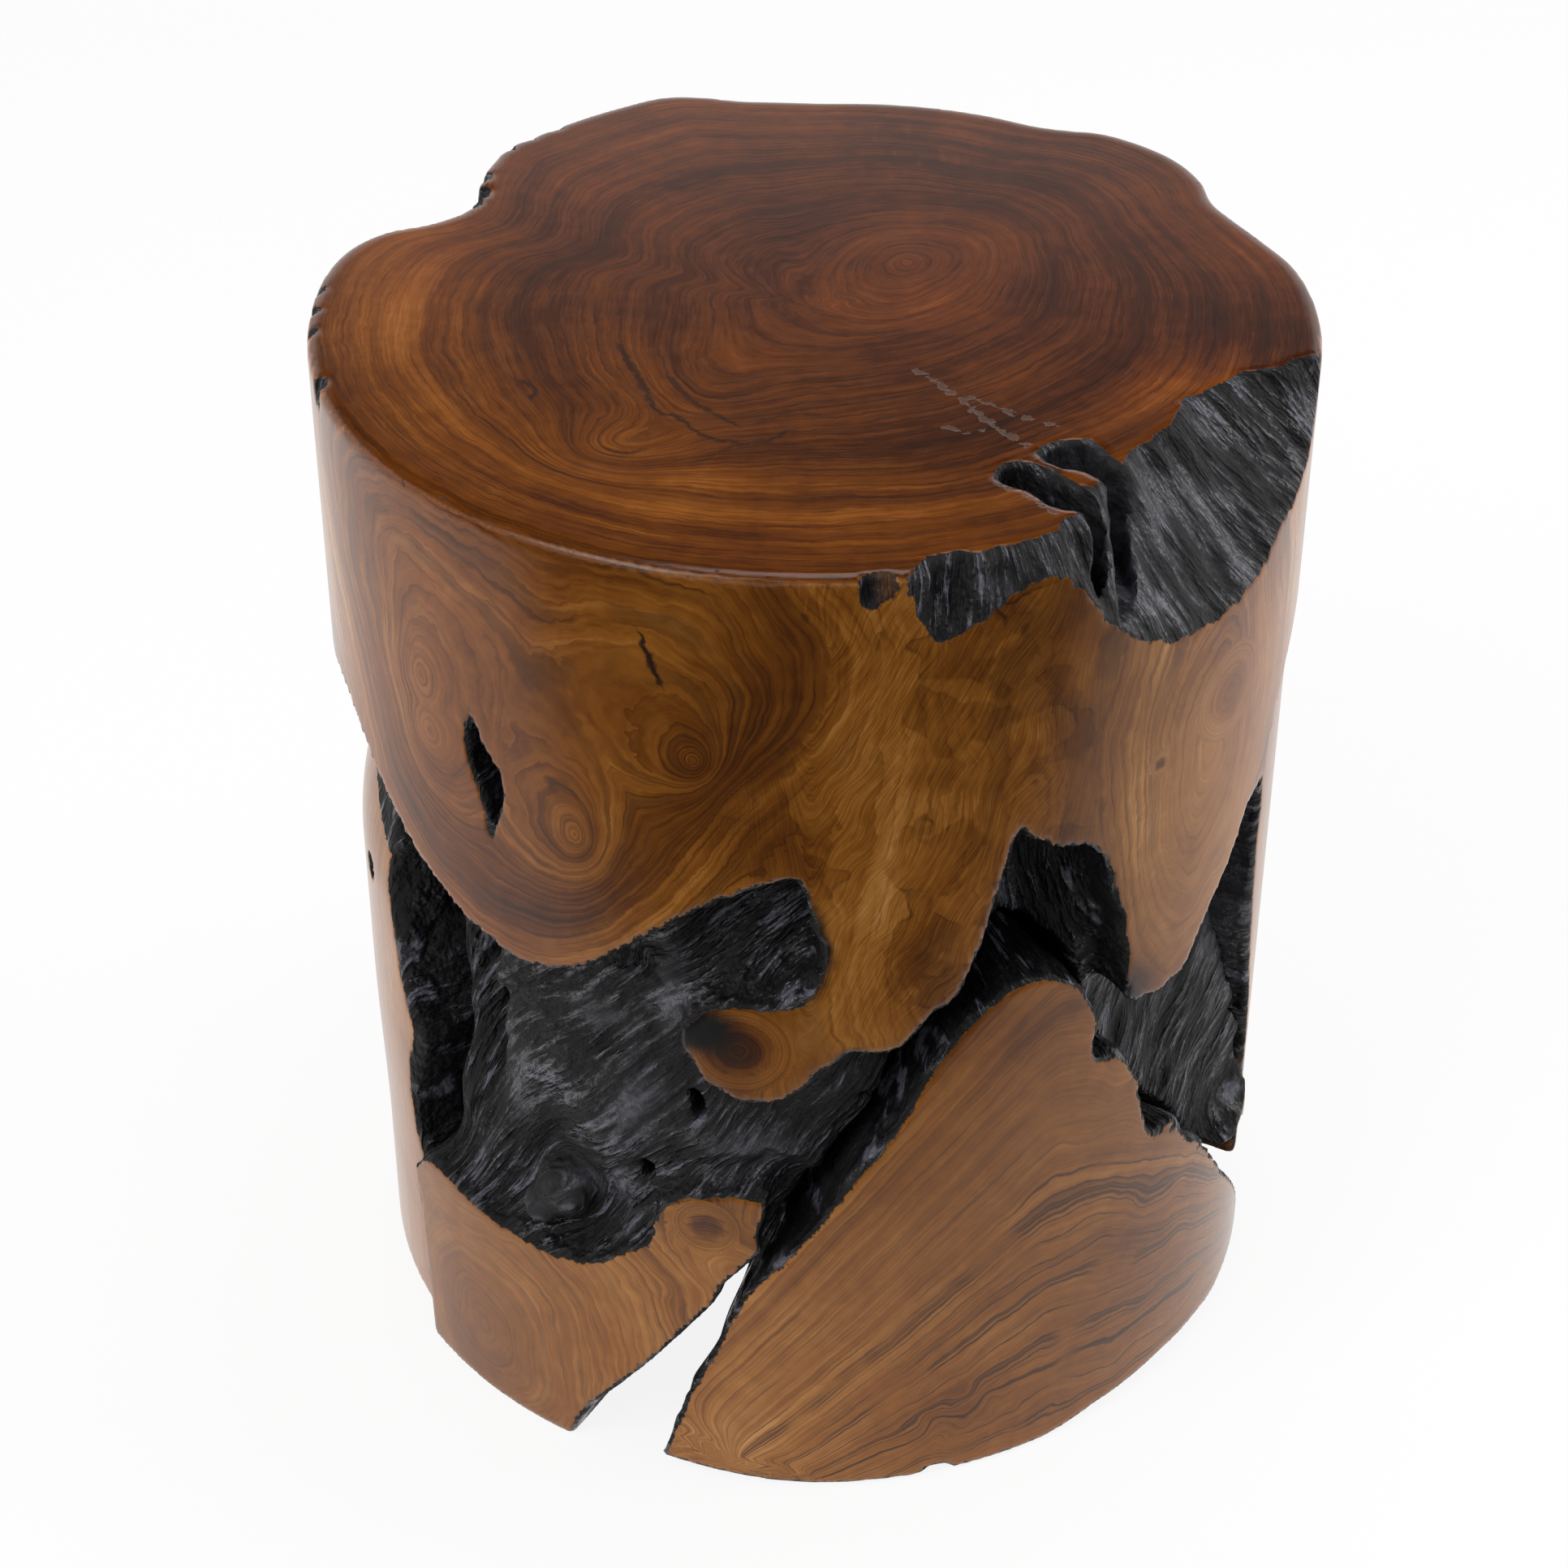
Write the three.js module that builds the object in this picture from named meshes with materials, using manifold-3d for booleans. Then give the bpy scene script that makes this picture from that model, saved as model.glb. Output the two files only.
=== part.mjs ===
// A drum-shaped stool turned from a root stump, with charred hollows between its roots.
// Millimetres, +Z up. The origin is on the floor, below the middle of the drum.
// Angles are in degrees about Z, from the front (-Y), growing towards the right (+X).
import * as THREE from "three";
import { mergeVertices } from "three/addons/utils/BufferGeometryUtils.js";
import Module from "manifold-3d";

const wasm = await Module();
wasm.setup();

// Driving dimensions of the drum
const seatHeight = 450;
const drumRadius = 197;
const rimFillet = 4;

// The left and the rear right root's skins lie a little inside the drum's
const leftRootSetback = 5.5;
const rearRootSetback = 2.5;
const leftRootSkinRadius = drumRadius - leftRootSetback;
const rearRootSkinRadius = drumRadius - rearRootSetback;

// Glued faces: flat, upright, each at its own depth below its block's skin
const footBlockDepth = 85;
const leftRootDepth = 50;
const rearRootDepth = 54.5;
const footJointDistance = drumRadius - footBlockDepth;
const leftJointDistance = leftRootSkinRadius - leftRootDepth;
const rearJointDistance = rearRootSkinRadius - rearRootDepth;
const footJointAngle = 28;
const leftJointAngle = -84;
const rearJointAngle = 90;

// Clearances
const gluedGap = 0.3;
const boreGap = 0.3;
const seamGap = 0.6;
const footSlotWidth = 8;

// Hardwood dowels and the plugged screw
const dowelDiameter = 16;
const footDowelLength = 80;
const leftDowelLength = 66;
const rearDowelLength = 72;
const dowelEndSpace = 2;
const plugDiameter = 10;
const plugDepth = 14;
const screwHeadDiameter = 9.5;
const screwHeadHeight = 4;
const screwShankDiameter = 6;
const screwLength = 76;
const screwAngle = -74;

// Hollows
const hollowCell = 7.5;
const hollowWallRun = 6;
const hollowBase = 19;
const vaultRadius = 128;
const vaultHeight = 112;
const archInnerRadius = 60;
const crackDepth = 26;
const rimSlotDepth = 62;

// A root block's sides close in by this share between the skin and the inner radius
const rootTaperShare = 0.12;

// Outline points below this share of the seat's height stand near the floor
const groundShare = 0.02;

// Cuts run this far past what they cut
const overrun = 12;

// Points closer together than this share of the rim's fillet are one point
const weldShare = 1e-4;

// Numbers of facets
const outlineSteps = 96;
const roundSides = 24;
const rimSteps = 2;

// The turned drum seen from above, without the burnt notch at the front right:
// angle, and radius as a share of the drum's
const planShares = [
  [-180, 0.97], [-171, 0.992], [-166, 1.03], [-161.7, 1.05], [-156, 1.036], [-148, 1.014],
  [-142, 0.998], [-138.5, 0.992], [-135, 0.962], [-131, 0.928], [-126, 0.876], [-121, 0.85],
  [-118, 0.862], [-114.5, 0.893], [-111, 0.948], [-106, 0.986], [-99, 1], [-90, 1], [-60, 1],
  [-30, 1], [0, 1], [30, 1], [60, 1], [90, 1], [101, 0.994], [108, 0.974], [115, 0.962],
  [120, 0.968], [125, 1.008], [131, 1.036], [137, 1.04], [142, 1.03], [146, 1.0], [150, 0.982],
  [157, 0.984], [165, 0.982], [172, 0.976],
];

// Outlines on the drum's skin: angle, and height as a share of the seat's.
// The front hollow runs under the burl lobe, round the knot and the golden panel, up beside the
// hanging panel and down behind the two front feet.
const frontHollowShares = [
  [-118, 0.705], [-104, 0.712], [-90, 0.705], [-80, 0.695], [-72, 0.704], [-67, 0.693],
  [-61, 0.66], [-55, 0.624], [-50, 0.602], [-45, 0.582], [-40, 0.569], [-36, 0.562],
  [-32, 0.564], [-28, 0.573], [-25, 0.589], [-22, 0.613], [-17, 0.644], [-13, 0.667],
  [-10, 0.684], [-5, 0.702], [-2, 0.713], [-1, 0.689], [0, 0.656], [1, 0.633], [0, 0.6],
  [-2, 0.574], [-6, 0.573], [-10, 0.576], [-14, 0.557], [-15.5, 0.533], [-14, 0.502],
  [-11, 0.476], [-8, 0.467], [-4, 0.471], [-1, 0.49], [0, 0.504], [2, 0.511], [4, 0.527],
  [6, 0.518], [9, 0.522], [11, 0.533], [13, 0.562], [16, 0.569], [17, 0.589], [19, 0.633],
  [20, 0.667], [21, 0.7], [22, 0.73], [22.7, 0.738], [24, 0.722], [27, 0.707], [30, 0.7],
  [32, 0.696], [33.3, 0.678], [35, 0.644], [36.6, 0.611], [37.6, 0.578], [38.3, 0.533],
  [38.6, 0.498], [42, 0.496], [45, 0.496], [49, 0.5], [50, 0.511], [52, 0.538], [55, 0.562],
  [58, 0.589], [60, 0.611], [62, 0.624], [66, 0.632], [72, 0.6], [80, 0.5], [80, 0.2],
  [60, 0.17], [30, 0.17], [0, 0.2], [-7, 0.3], [-5, 0.345], [-6, 0.358], [-9, 0.36],
  [-12, 0.356], [-15, 0.351], [-17, 0.338], [-18.5, 0.322], [-19.5, 0.289], [-22, 0.271],
  [-26, 0.244], [-30, 0.233], [-35, 0.229], [-45, 0.233], [-50, 0.24], [-56, 0.24],
  [-60, 0.2], [-75, 0.17], [-118, 0.17],
];
const backLeftHollowShares = [
  [-111, -0.05], [-111, 0.2], [-110, 0.45], [-110, 0.65], [-113, 0.78], [-119, 0.87],
  [-127, 0.88], [-133, 0.8], [-139, 0.62], [-145, 0.42], [-150, 0.2], [-152, -0.05],
];
const backRightHollowShares = [
  [107, -0.05], [110, 0.3], [111, 0.5], [114, 0.63], [119, 0.7], [125, 0.69], [132, 0.6],
  [138, 0.44], [143, 0.26], [147, 0.1], [148, -0.05],
];

// Lumps (negative) and pits (positive) on a hollow's floor: angle, height share, half width in
// degrees, half height share, and depth as a share of the drum's radius
const frontLumpShares = [
  [-38, 0.25, 26, 0.07, -0.07], [-28, 0.355, 6.5, 0.05, -0.05], [-12, 0.38, 7, 0.05, -0.03],
  [-1, 0.49, 8, 0.05, -0.06], [-10, 0.645, 8, 0.05, 0.02], [28, 0.6, 6, 0.09, 0.1],
  [-50, 0.46, 3.2, 0.12, 0.21], [-60, 0.38, 3.6, 0.2, 0.14], [-82, 0.66, 18, 0.07, 0.12],
  [52, 0.42, 13, 0.14, 0.08], [80, 0.38, 9, 0.45, -0.085],
];
const backLeftLumpShares = [
  [-126, 0.3, 13, 0.3, 0.14],
  [-121, 0.8, 10, 0.1, -0.04],
];
const backRightLumpShares = [[126, 0.35, 11, 0.28, 0.15]];

const rightFootShares = [
  [-19, 0.016], [-17, 0.062], [-15, 0.111], [-12, 0.167], [-8.5, 0.24], [-4, 0.284], [0, 0.329],
  [4, 0.378], [7, 0.411], [10, 0.451], [13, 0.5], [16, 0.533], [19, 0.556], [22, 0.571],
  [25, 0.576], [28, 0.569], [31, 0.553], [33, 0.533], [34.3, 0.5], [34.6, 0.455], [38, 0.449],
  [40, 0.427], [42, 0.389], [43, 0.362], [44, 0.344], [45, 0.318], [48, 0.324], [50, 0.311],
  [52, 0.289], [55, 0.267], [58, 0.244], [60, 0.222], [63, 0.189], [66, 0.16], [70, 0.127],
  [74, 0.092], [78, 0.055], [81, 0.02], [82, 0], [66, 0], [60, 0.009], [50, 0.015], [38, 0.011],
  [30, 0], [17.6, 0], [16.5, 0.009], [14.5, 0.009], [13.4, 0], [0, 0], [-8, 0.006],
];
const leftRootShares = [
  [-57.5, 0], [-58, 0.067], [-58.8, 0.167], [-59.3, 0.2], [-61.4, 0.23], [-62.1, 0.27],
  [-61.4, 0.31], [-60, 0.337], [-58.8, 0.365], [-60.3, 0.387], [-62, 0.415], [-63.2, 0.465],
  [-64.5, 0.51], [-64.3, 0.55], [-66.5, 0.58], [-70.5, 0.6], [-76, 0.6], [-83, 0.585],
  [-91, 0.565], [-99, 0.52], [-105, 0.45], [-108, 0.36], [-109.5, 0.27], [-110.5, 0.17],
  [-113, 0.06], [-113.5, 0],
];
const rearRootShares = [
  [76.5, 0.11], [76.6, 0.2], [76, 0.28], [73.6, 0.335], [71.6, 0.375], [70.2, 0.43],
  [69, 0.48], [68.4, 0.53], [68.6, 0.58], [67.2, 0.64], [69, 0.69], [73, 0.725], [78, 0.75],
  [85, 0.765], [94, 0.762], [102, 0.73], [108, 0.66], [110.5, 0.56], [111, 0.44],
  [109.5, 0.3], [107.5, 0.2], [105, 0.11],
];

// Ways through to the vault below the trunk
const frontWedgeShares = [
  [-33, -0.03], [-29, 0.044], [-25, 0.084], [-20, 0.133], [-16, 0.178], [-13, 0.211],
  [-10, 0.238], [-3, 0.238], [6, 0.1], [6, -0.03],
];
const backLeftArchShares = [
  [-112, -0.03], [-112, 0.12], [-116, 0.22], [-124, 0.28], [-133, 0.27], [-141, 0.2],
  [-146, 0.1], [-149, -0.03],
];
const backRightArchShares = [
  [66, -0.03], [62, 0.1], [62, 0.18], [77, 0.18], [77, 0.11], [111, 0.11], [115, 0.24],
  [122, 0.3], [131, 0.3],
  [138, 0.22], [143, 0.12], [146, -0.03],
];

// The burnt notch in the seat's rim at the front right: angle, radius share of the seat's edge
// there, and height share of the notch's lower edge on the skin
const rimNotchShares = [
  [8, 0.998, 0.985], [9.5, 0.985, 0.965], [12.3, 0.95, 0.938], [16, 0.95, 0.947],
  [18.6, 0.953, 0.958], [21, 0.952, 0.974], [24, 0.948, 0.982], [27, 0.944, 0.968],
  [29, 0.93, 0.955], [31.5, 0.905, 0.927], [34, 0.875, 0.908], [38, 0.85, 0.884],
  [43.3, 0.836, 0.87], [48.8, 0.81, 0.866], [53.4, 0.81, 0.871], [57, 0.8, 0.876],
  [59.6, 0.79, 0.888], [63.4, 0.797, 0.906], [68.8, 0.84, 0.912], [72.2, 0.868, 0.921],
  [75.4, 0.94, 0.932], [78.5, 0.985, 0.955], [80, 0.998, 0.985],
];
const notchCurveShare = 0.85;

// Two open slots run in from the notch, seen from above: x and y as shares of the drum's radius
const upperSlotShares = [
  [0.405, -0.55], [0.477, -0.513], [0.512, -0.52], [0.55, -0.594], [0.577, -0.65],
  [0.585, -0.75], [0.575, -0.84], [0.545, -0.84], [0.548, -0.74], [0.535, -0.67],
  [0.508, -0.632], [0.44, -0.602],
];
const lowerSlotShares = [
  [0.32, -0.655], [0.345, -0.605], [0.396, -0.599], [0.425, -0.622], [0.482, -0.69],
  [0.515, -0.72], [0.53, -0.76], [0.52, -0.82], [0.49, -0.82], [0.492, -0.765],
  [0.437, -0.756], [0.39, -0.7],
];

// The eye-shaped crack in the lobe, on the skin
const crackShares = [
  [-40.5, 0.8], [-41.5, 0.773], [-40.6, 0.745], [-39.2, 0.72], [-38.5, 0.684], [-37.6, 0.705],
  [-36.4, 0.733], [-37, 0.757], [-39.3, 0.777],
];

// Dowels across a glued face: side offset as a share of the drum's radius, height share
const footDowelShares = {
  foot_dowel_upper: [-0.05, 0.46],
  foot_dowel_lower_left: [-0.23, 0.3],
  foot_dowel_lower_right: [0.25, 0.3],
};
const rearDowelShares = {
  rear_root_dowel_upper: [0, 0.6],
  rear_root_dowel_lower: [0, 0.36],
};
const leftDowelHeightShare = 0.24;
const screwHeightShare = 0.483;

const radians = THREE.MathUtils.degToRad;

// A point on a cylinder about Z
function around(angle, radius, height) {
  const a = radians(angle);
  return new THREE.Vector3(radius * Math.sin(a), -radius * Math.cos(a), height);
}

// A closed three.js geometry as a solid that can be joined and cut
function solid(geometry) {
  const bare = geometry.index ? geometry.toNonIndexed() : geometry.clone();
  bare.deleteAttribute("normal");
  bare.deleteAttribute("uv");
  const merged = mergeVertices(bare, weldShare * rimFillet);
  const vertProperties = merged.attributes.position.array;
  const triVerts = new Uint32Array(merged.index.array);
  return new wasm.Manifold(new wasm.Mesh({ numProp: 3, vertProperties, triVerts }));
}

// A solid as a named mesh of its own
function piece(name, body, material) {
  const made = body.getMesh();
  const geometry = new THREE.BufferGeometry();
  const points = new Float32Array(made.numVert * 3);
  for (let i = 0; i < made.numVert; i++) {
    const from = i * made.numProp;
    points.set(made.vertProperties.subarray(from, from + 3), i * 3);
  }
  geometry.setAttribute("position", new THREE.BufferAttribute(points, 3));
  geometry.setIndex(new THREE.BufferAttribute(new Uint32Array(made.triVerts), 1));
  geometry.computeVertexNormals();
  const mesh = new THREE.Mesh(geometry, material);
  mesh.name = name;
  return mesh;
}

// The turned blank: the live-edged plan as a prism with filleted rims
function turnedBlank(radius) {
  const plan = planShares.map(([angle, share]) => {
    const p = around(angle, share * radius - rimFillet, 0);
    return new THREE.Vector2(p.x, p.y);
  });
  const curve = new THREE.SplineCurve([...plan, plan[0]]);
  const shape = new THREE.Shape(curve.getSpacedPoints(outlineSteps).slice(0, -1));
  const geometry = new THREE.ExtrudeGeometry(shape, {
    depth: seatHeight - 2 * rimFillet,
    bevelSize: rimFillet,
    bevelThickness: rimFillet,
    bevelSegments: rimSteps,
  });
  return solid(geometry.translate(0, 0, rimFillet));
}

// The radius of the turned blank's plan at an angle
function planRadius(angle) {
  const turned = ((((angle + 180) % 360) + 360) % 360) - 180;
  const last = planShares.length - 1;
  const next = planShares.findIndex(([a]) => a > turned);
  const [a0, r0] = next < 0 ? planShares[last] : planShares[Math.max(0, next - 1)];
  const [a1, r1] = next < 0 ? [planShares[0][0] + 360, planShares[0][1]] : planShares[next];
  const t = (turned - a0) / (a1 - a0);
  return drumRadius * (r0 + (r1 - r0) * t);
}

// An outline on the skin in millimetres of arc and height
function unrolled(outlineShares) {
  return outlineShares.map(
    ([angle, share]) => new THREE.Vector2(radians(angle) * drumRadius, share * seatHeight),
  );
}

// An unrolled outline moved outwards by a distance
function widened(outline, distance) {
  const turn = THREE.ShapeUtils.area(outline) > 0 ? 1 : -1;
  return outline.map((p, i) => {
    const before = outline.at(i - 1);
    const after = outline[(i + 1) % outline.length];
    const n1 = new THREE.Vector2(p.y - before.y, before.x - p.x).normalize();
    const n2 = new THREE.Vector2(after.y - p.y, p.x - after.x).normalize();
    const out = n1.add(n2).normalize();
    return p.clone().addScaledVector(out, distance * turn);
  });
}

// A wedge about the axis whose cross-section is an unrolled outline, with radial walls that close
// in towards the axis by a taper share
function radialPrism(unrolledOutline, innerRadius, taperShare = 0) {
  const turn = THREE.ShapeUtils.area(unrolledOutline) > 0;
  const outline = turn ? unrolledOutline : [...unrolledOutline].reverse();
  const middle = outline.reduce((sum, p) => sum + p.x, 0) / outline.length;
  const radii = [innerRadius, (innerRadius + drumRadius) / 2, drumRadius, 2 * drumRadius];
  const points = radii.flatMap((radius) => {
    const inward = Math.max(0, (drumRadius - radius) / (drumRadius - innerRadius));
    return outline.map((p) => {
      const x = p.x + (middle - p.x) * taperShare * inward;
      return around(THREE.MathUtils.radToDeg(x / drumRadius), radius, p.y);
    });
  });
  const n = outline.length;
  const outer = (radii.length - 1) * n;
  const faces = [];
  THREE.ShapeUtils.triangulateShape(outline, []).forEach(([a, b, c]) => {
    faces.push(outer + a, outer + b, outer + c);
    faces.push(c, b, a);
  });
  for (let start = 0; start < outer; start += n) {
    for (let i = 0; i < n; i++) {
      const j = (i + 1) % n;
      faces.push(start + i, start + j, start + n + j);
      faces.push(start + i, start + n + j, start + n + i);
    }
  }
  const geometry = new THREE.BufferGeometry().setFromPoints(points);
  geometry.setIndex(faces);
  return solid(geometry);
}

// Everything beyond an upright plane that faces an angle at a distance from the axis
function beyond(angle, distance) {
  const depth = 2 * drumRadius;
  const side = 4 * drumRadius;
  const geometry = new THREE.BoxGeometry(side, depth, 2 * seatHeight + 2 * overrun);
  geometry.translate(0, -distance - depth / 2, seatHeight / 2);
  geometry.rotateZ(radians(angle));
  return solid(geometry);
}

// How far a point lies inside an unrolled outline, negative outside
function insetOf(outline, x, y) {
  let nearest = Infinity;
  let inside = false;
  outline.forEach((p, i) => {
    const q = outline[(i + 1) % outline.length];
    const edge = q.clone().sub(p);
    const t = THREE.MathUtils.clamp(
      ((x - p.x) * edge.x + (y - p.y) * edge.y) / edge.lengthSq(),
      0,
      1,
    );
    nearest = Math.min(nearest, Math.hypot(x - p.x - edge.x * t, y - p.y - edge.y * t));
    if (p.y > y !== q.y > y && x < p.x + (edge.x * (y - p.y)) / edge.y) inside = !inside;
  });
  return inside ? nearest : -nearest;
}

// A closed shell between a floor whose radius is a formula of angle and height, and a wall
// outside the drum, over a grid of angles and heights
function burntCutter(angles, heights, floorRadius) {
  const outerRadius = 2 * drumRadius;
  const rows = heights.length;
  const points = [];
  angles.forEach((angle) =>
    heights.forEach((height) => {
      points.push(around(angle, floorRadius(angle, height), height));
      points.push(around(angle, outerRadius, height));
    }),
  );
  const faces = [];
  const quad = (a, b, c, d) => faces.push(a, b, c, a, c, d);
  const at = (i, j, outside) => 2 * (i * rows + j) + outside;
  const lastColumn = angles.length - 1;
  for (let i = 0; i < lastColumn; i++) {
    for (let j = 0; j < rows - 1; j++) {
      quad(at(i, j, 0), at(i, j + 1, 0), at(i + 1, j + 1, 0), at(i + 1, j, 0));
      quad(at(i, j, 1), at(i + 1, j, 1), at(i + 1, j + 1, 1), at(i, j + 1, 1));
    }
    quad(at(i, 0, 0), at(i + 1, 0, 0), at(i + 1, 0, 1), at(i, 0, 1));
    quad(at(i, rows - 1, 0), at(i, rows - 1, 1), at(i + 1, rows - 1, 1), at(i + 1, rows - 1, 0));
  }
  for (let j = 0; j < rows - 1; j++) {
    quad(at(0, j, 0), at(0, j, 1), at(0, j + 1, 1), at(0, j + 1, 0));
    quad(
      at(lastColumn, j, 0),
      at(lastColumn, j + 1, 0),
      at(lastColumn, j + 1, 1),
      at(lastColumn, j, 1),
    );
  }
  const geometry = new THREE.BufferGeometry().setFromPoints(points);
  geometry.setIndex(faces);
  return solid(geometry);
}

// Evenly spaced values from one end to the other, no further apart than a step
function spaced(from, to, step) {
  const count = Math.max(1, Math.ceil((to - from) / step));
  return Array.from({ length: count + 1 }, (_, i) => from + ((to - from) * i) / count);
}

// A charred hollow: the skin is gone inside an outline, and lumps and pits shape the floor
function hollow(outlineShares, lumpShares) {
  const outline = unrolled(outlineShares);
  const cellAngle = THREE.MathUtils.radToDeg(hollowCell / drumRadius);
  const angleList = outlineShares.map(([angle]) => angle);
  const heightList = outline.map((p) => p.y);
  const low = Math.max(Math.min(...heightList) - hollowCell, -overrun);
  const high = Math.min(Math.max(...heightList) + hollowCell, seatHeight + overrun);
  const angles = spaced(Math.min(...angleList) - cellAngle, Math.max(...angleList) + cellAngle,
    cellAngle);
  const heights = spaced(low, high, hollowCell);
  const floorRadius = (angle, height) => {
    const inset = insetOf(outline, radians(angle) * drumRadius, height);
    const skin = planRadius(angle);
    if (inset < 0) return skin - inset;
    const depth = lumpShares.reduce((sum, [a, h, wide, tall, share]) => {
      const u = (angle - a) / wide;
      const v = (height / seatHeight - h) / tall;
      return sum + share * drumRadius * Math.exp(-u * u - v * v);
    }, hollowBase);
    return skin - Math.max(depth, hollowWallRun / 2) * (1 - Math.exp(-inset / hollowWallRun));
  };
  return burntCutter(angles, heights, floorRadius);
}

// A value read off a table at an angle, between its rows
function readAt(table, angle, column) {
  const next = table.findIndex(([a]) => a > angle);
  if (next < 0) return table.at(-1)[column];
  if (next === 0) return table[0][column];
  const before = table[next - 1];
  const after = table[next];
  const t = (angle - before[0]) / (after[0] - before[0]);
  return before[column] + (after[column] - before[column]) * t;
}

// The burnt notch slopes from the seat's edge out to the skin
function rimNotch() {
  const cellAngle = THREE.MathUtils.radToDeg(hollowCell / drumRadius);
  const first = rimNotchShares[0][0];
  const last = rimNotchShares.at(-1)[0];
  const lowest = Math.min(...rimNotchShares.map((row) => row[2])) * seatHeight;
  const heights = spaced(lowest - hollowCell, seatHeight + overrun, hollowCell);
  const floorRadius = (angle, height) => {
    const edge = readAt(rimNotchShares, angle, 1) * drumRadius;
    const foot = readAt(rimNotchShares, angle, 2) * seatHeight;
    const rise = (height - foot) / (seatHeight - foot);
    if (rise < 0) return drumRadius + (foot - height);
    return drumRadius - (drumRadius - edge) * Math.min(rise, 1) ** notchCurveShare;
  };
  return burntCutter(spaced(first, last, cellAngle / 2), heights, floorRadius);
}

// An upright slot cut down from the seat
function rimSlot(slotShares) {
  const points = slotShares.map(
    ([x, y]) => new THREE.Vector2(x * drumRadius, y * drumRadius),
  );
  const geometry = new THREE.ExtrudeGeometry(new THREE.Shape(points), {
    depth: rimSlotDepth + overrun,
    bevelEnabled: false,
  });
  return solid(geometry.translate(0, 0, seatHeight - rimSlotDepth));
}

// The natural vault under the trunk
function vault() {
  const geometry = new THREE.SphereGeometry(1, roundSides, roundSides / 2);
  geometry.rotateX(Math.PI / 2);
  geometry.scale(vaultRadius, vaultRadius, vaultHeight);
  return solid(geometry);
}

// A round bar square to a glued face: its inner end lies at a distance from the axis
function bar(diameter, length, innerEnd, offset, height, angle) {
  const geometry = new THREE.CylinderGeometry(diameter / 2, diameter / 2, length, roundSides);
  geometry.translate(offset, -innerEnd - length / 2, height);
  geometry.rotateZ(radians(angle));
  return solid(geometry);
}

// A dowel half on each side of a glued face, and the bore that takes it in both pieces
function dowelPair(length, jointDistance, [offsetShare, heightShare], angle) {
  const offset = offsetShare * drumRadius;
  const height = heightShare * seatHeight;
  const innerEnd = jointDistance - length / 2;
  const bore = bar(
    dowelDiameter + 2 * boreGap,
    length + 2 * dowelEndSpace,
    innerEnd - dowelEndSpace,
    offset,
    height,
    angle,
  );
  return { dowel: bar(dowelDiameter, length, innerEnd, offset, height, angle), bore };
}

const blank = turnedBlank(drumRadius);
const leftBlank = turnedBlank(leftRootSkinRadius);
const rearBlank = turnedBlank(rearRootSkinRadius);

// Dowels across the three glued faces
const footDowels = Object.entries(footDowelShares).map(([name, place]) => ({
  name,
  ...dowelPair(footDowelLength, footJointDistance, place, footJointAngle),
}));
const rearDowels = Object.entries(rearDowelShares).map(([name, place]) => ({
  name,
  ...dowelPair(rearDowelLength, rearJointDistance, place, rearJointAngle),
}));
const leftDowels = [
  {
    name: "left_root_dowel",
    ...dowelPair(leftDowelLength, leftJointDistance, [0, leftDowelHeightShare], leftJointAngle),
  },
];

// The screw through the left root, its counterbore and its plug
const screwHeight = screwHeightShare * seatHeight;
const screwOffset = leftRootSkinRadius * Math.sin(radians(screwAngle - leftJointAngle));
const skinAtScrew = Math.sqrt(leftRootSkinRadius ** 2 - screwOffset ** 2);
const headSeat = skinAtScrew - plugDepth - screwHeadHeight - gluedGap;
const plugStart = headSeat + screwHeadHeight + 2 * gluedGap;
const onScrewAxis = (diameter, length, innerEnd) =>
  bar(diameter, length, innerEnd, screwOffset, screwHeight, leftJointAngle);
const screw = onScrewAxis(screwShankDiameter, screwLength, headSeat - screwLength + gluedGap)
  .add(onScrewAxis(screwHeadDiameter, screwHeadHeight, headSeat + gluedGap));
const screwBore = onScrewAxis(
  screwShankDiameter + 2 * boreGap,
  screwLength + 2 * dowelEndSpace,
  headSeat - screwLength - dowelEndSpace,
);
const counterbore = onScrewAxis(plugDiameter + 2 * boreGap, 2 * drumRadius, headSeat);
const plug = onScrewAxis(plugDiameter, drumRadius, plugStart).intersect(leftBlank);

// The root blocks: turned skin outside, natural sides, a flat glued face inside
function rootBlock(skin, outlineShares, jointAngle, jointDistance, cuts) {
  const body = skin
    .intersect(radialPrism(unrolled(outlineShares), archInnerRadius, rootTaperShare))
    .intersect(beyond(jointAngle, jointDistance + gluedGap));
  return cuts.reduce((left, cut) => left.subtract(cut), body);
}
const bores = (dowels) => dowels.map(({ bore }) => bore);
const rightFoot = rootBlock(
  blank,
  rightFootShares,
  footJointAngle,
  footJointDistance,
  bores(footDowels),
);
const leftRoot = rootBlock(leftBlank, leftRootShares, leftJointAngle, leftJointDistance, [
  ...bores(leftDowels),
  screwBore,
  counterbore,
]);

const rearRoot = rootBlock(
  rearBlank,
  rearRootShares,
  rearJointAngle,
  rearJointDistance,
  bores(rearDowels),
);

// A socket in the trunk for a root block, open below wherever the block stands near the floor
function socket(outlineShares, clearance, jointAngle, jointDistance) {
  const low = outlineShares.map(([, heightShare]) => heightShare < groundShare);
  const outline = widened(unrolled(outlineShares), clearance).filter((p, i) => {
    if (low[i]) p.y = -overrun;
    return !low[i] || !low.at(i - 1) || !low[(i + 1) % low.length];
  });
  return radialPrism(outline, archInnerRadius).intersect(beyond(jointAngle, jointDistance));
}

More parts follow.
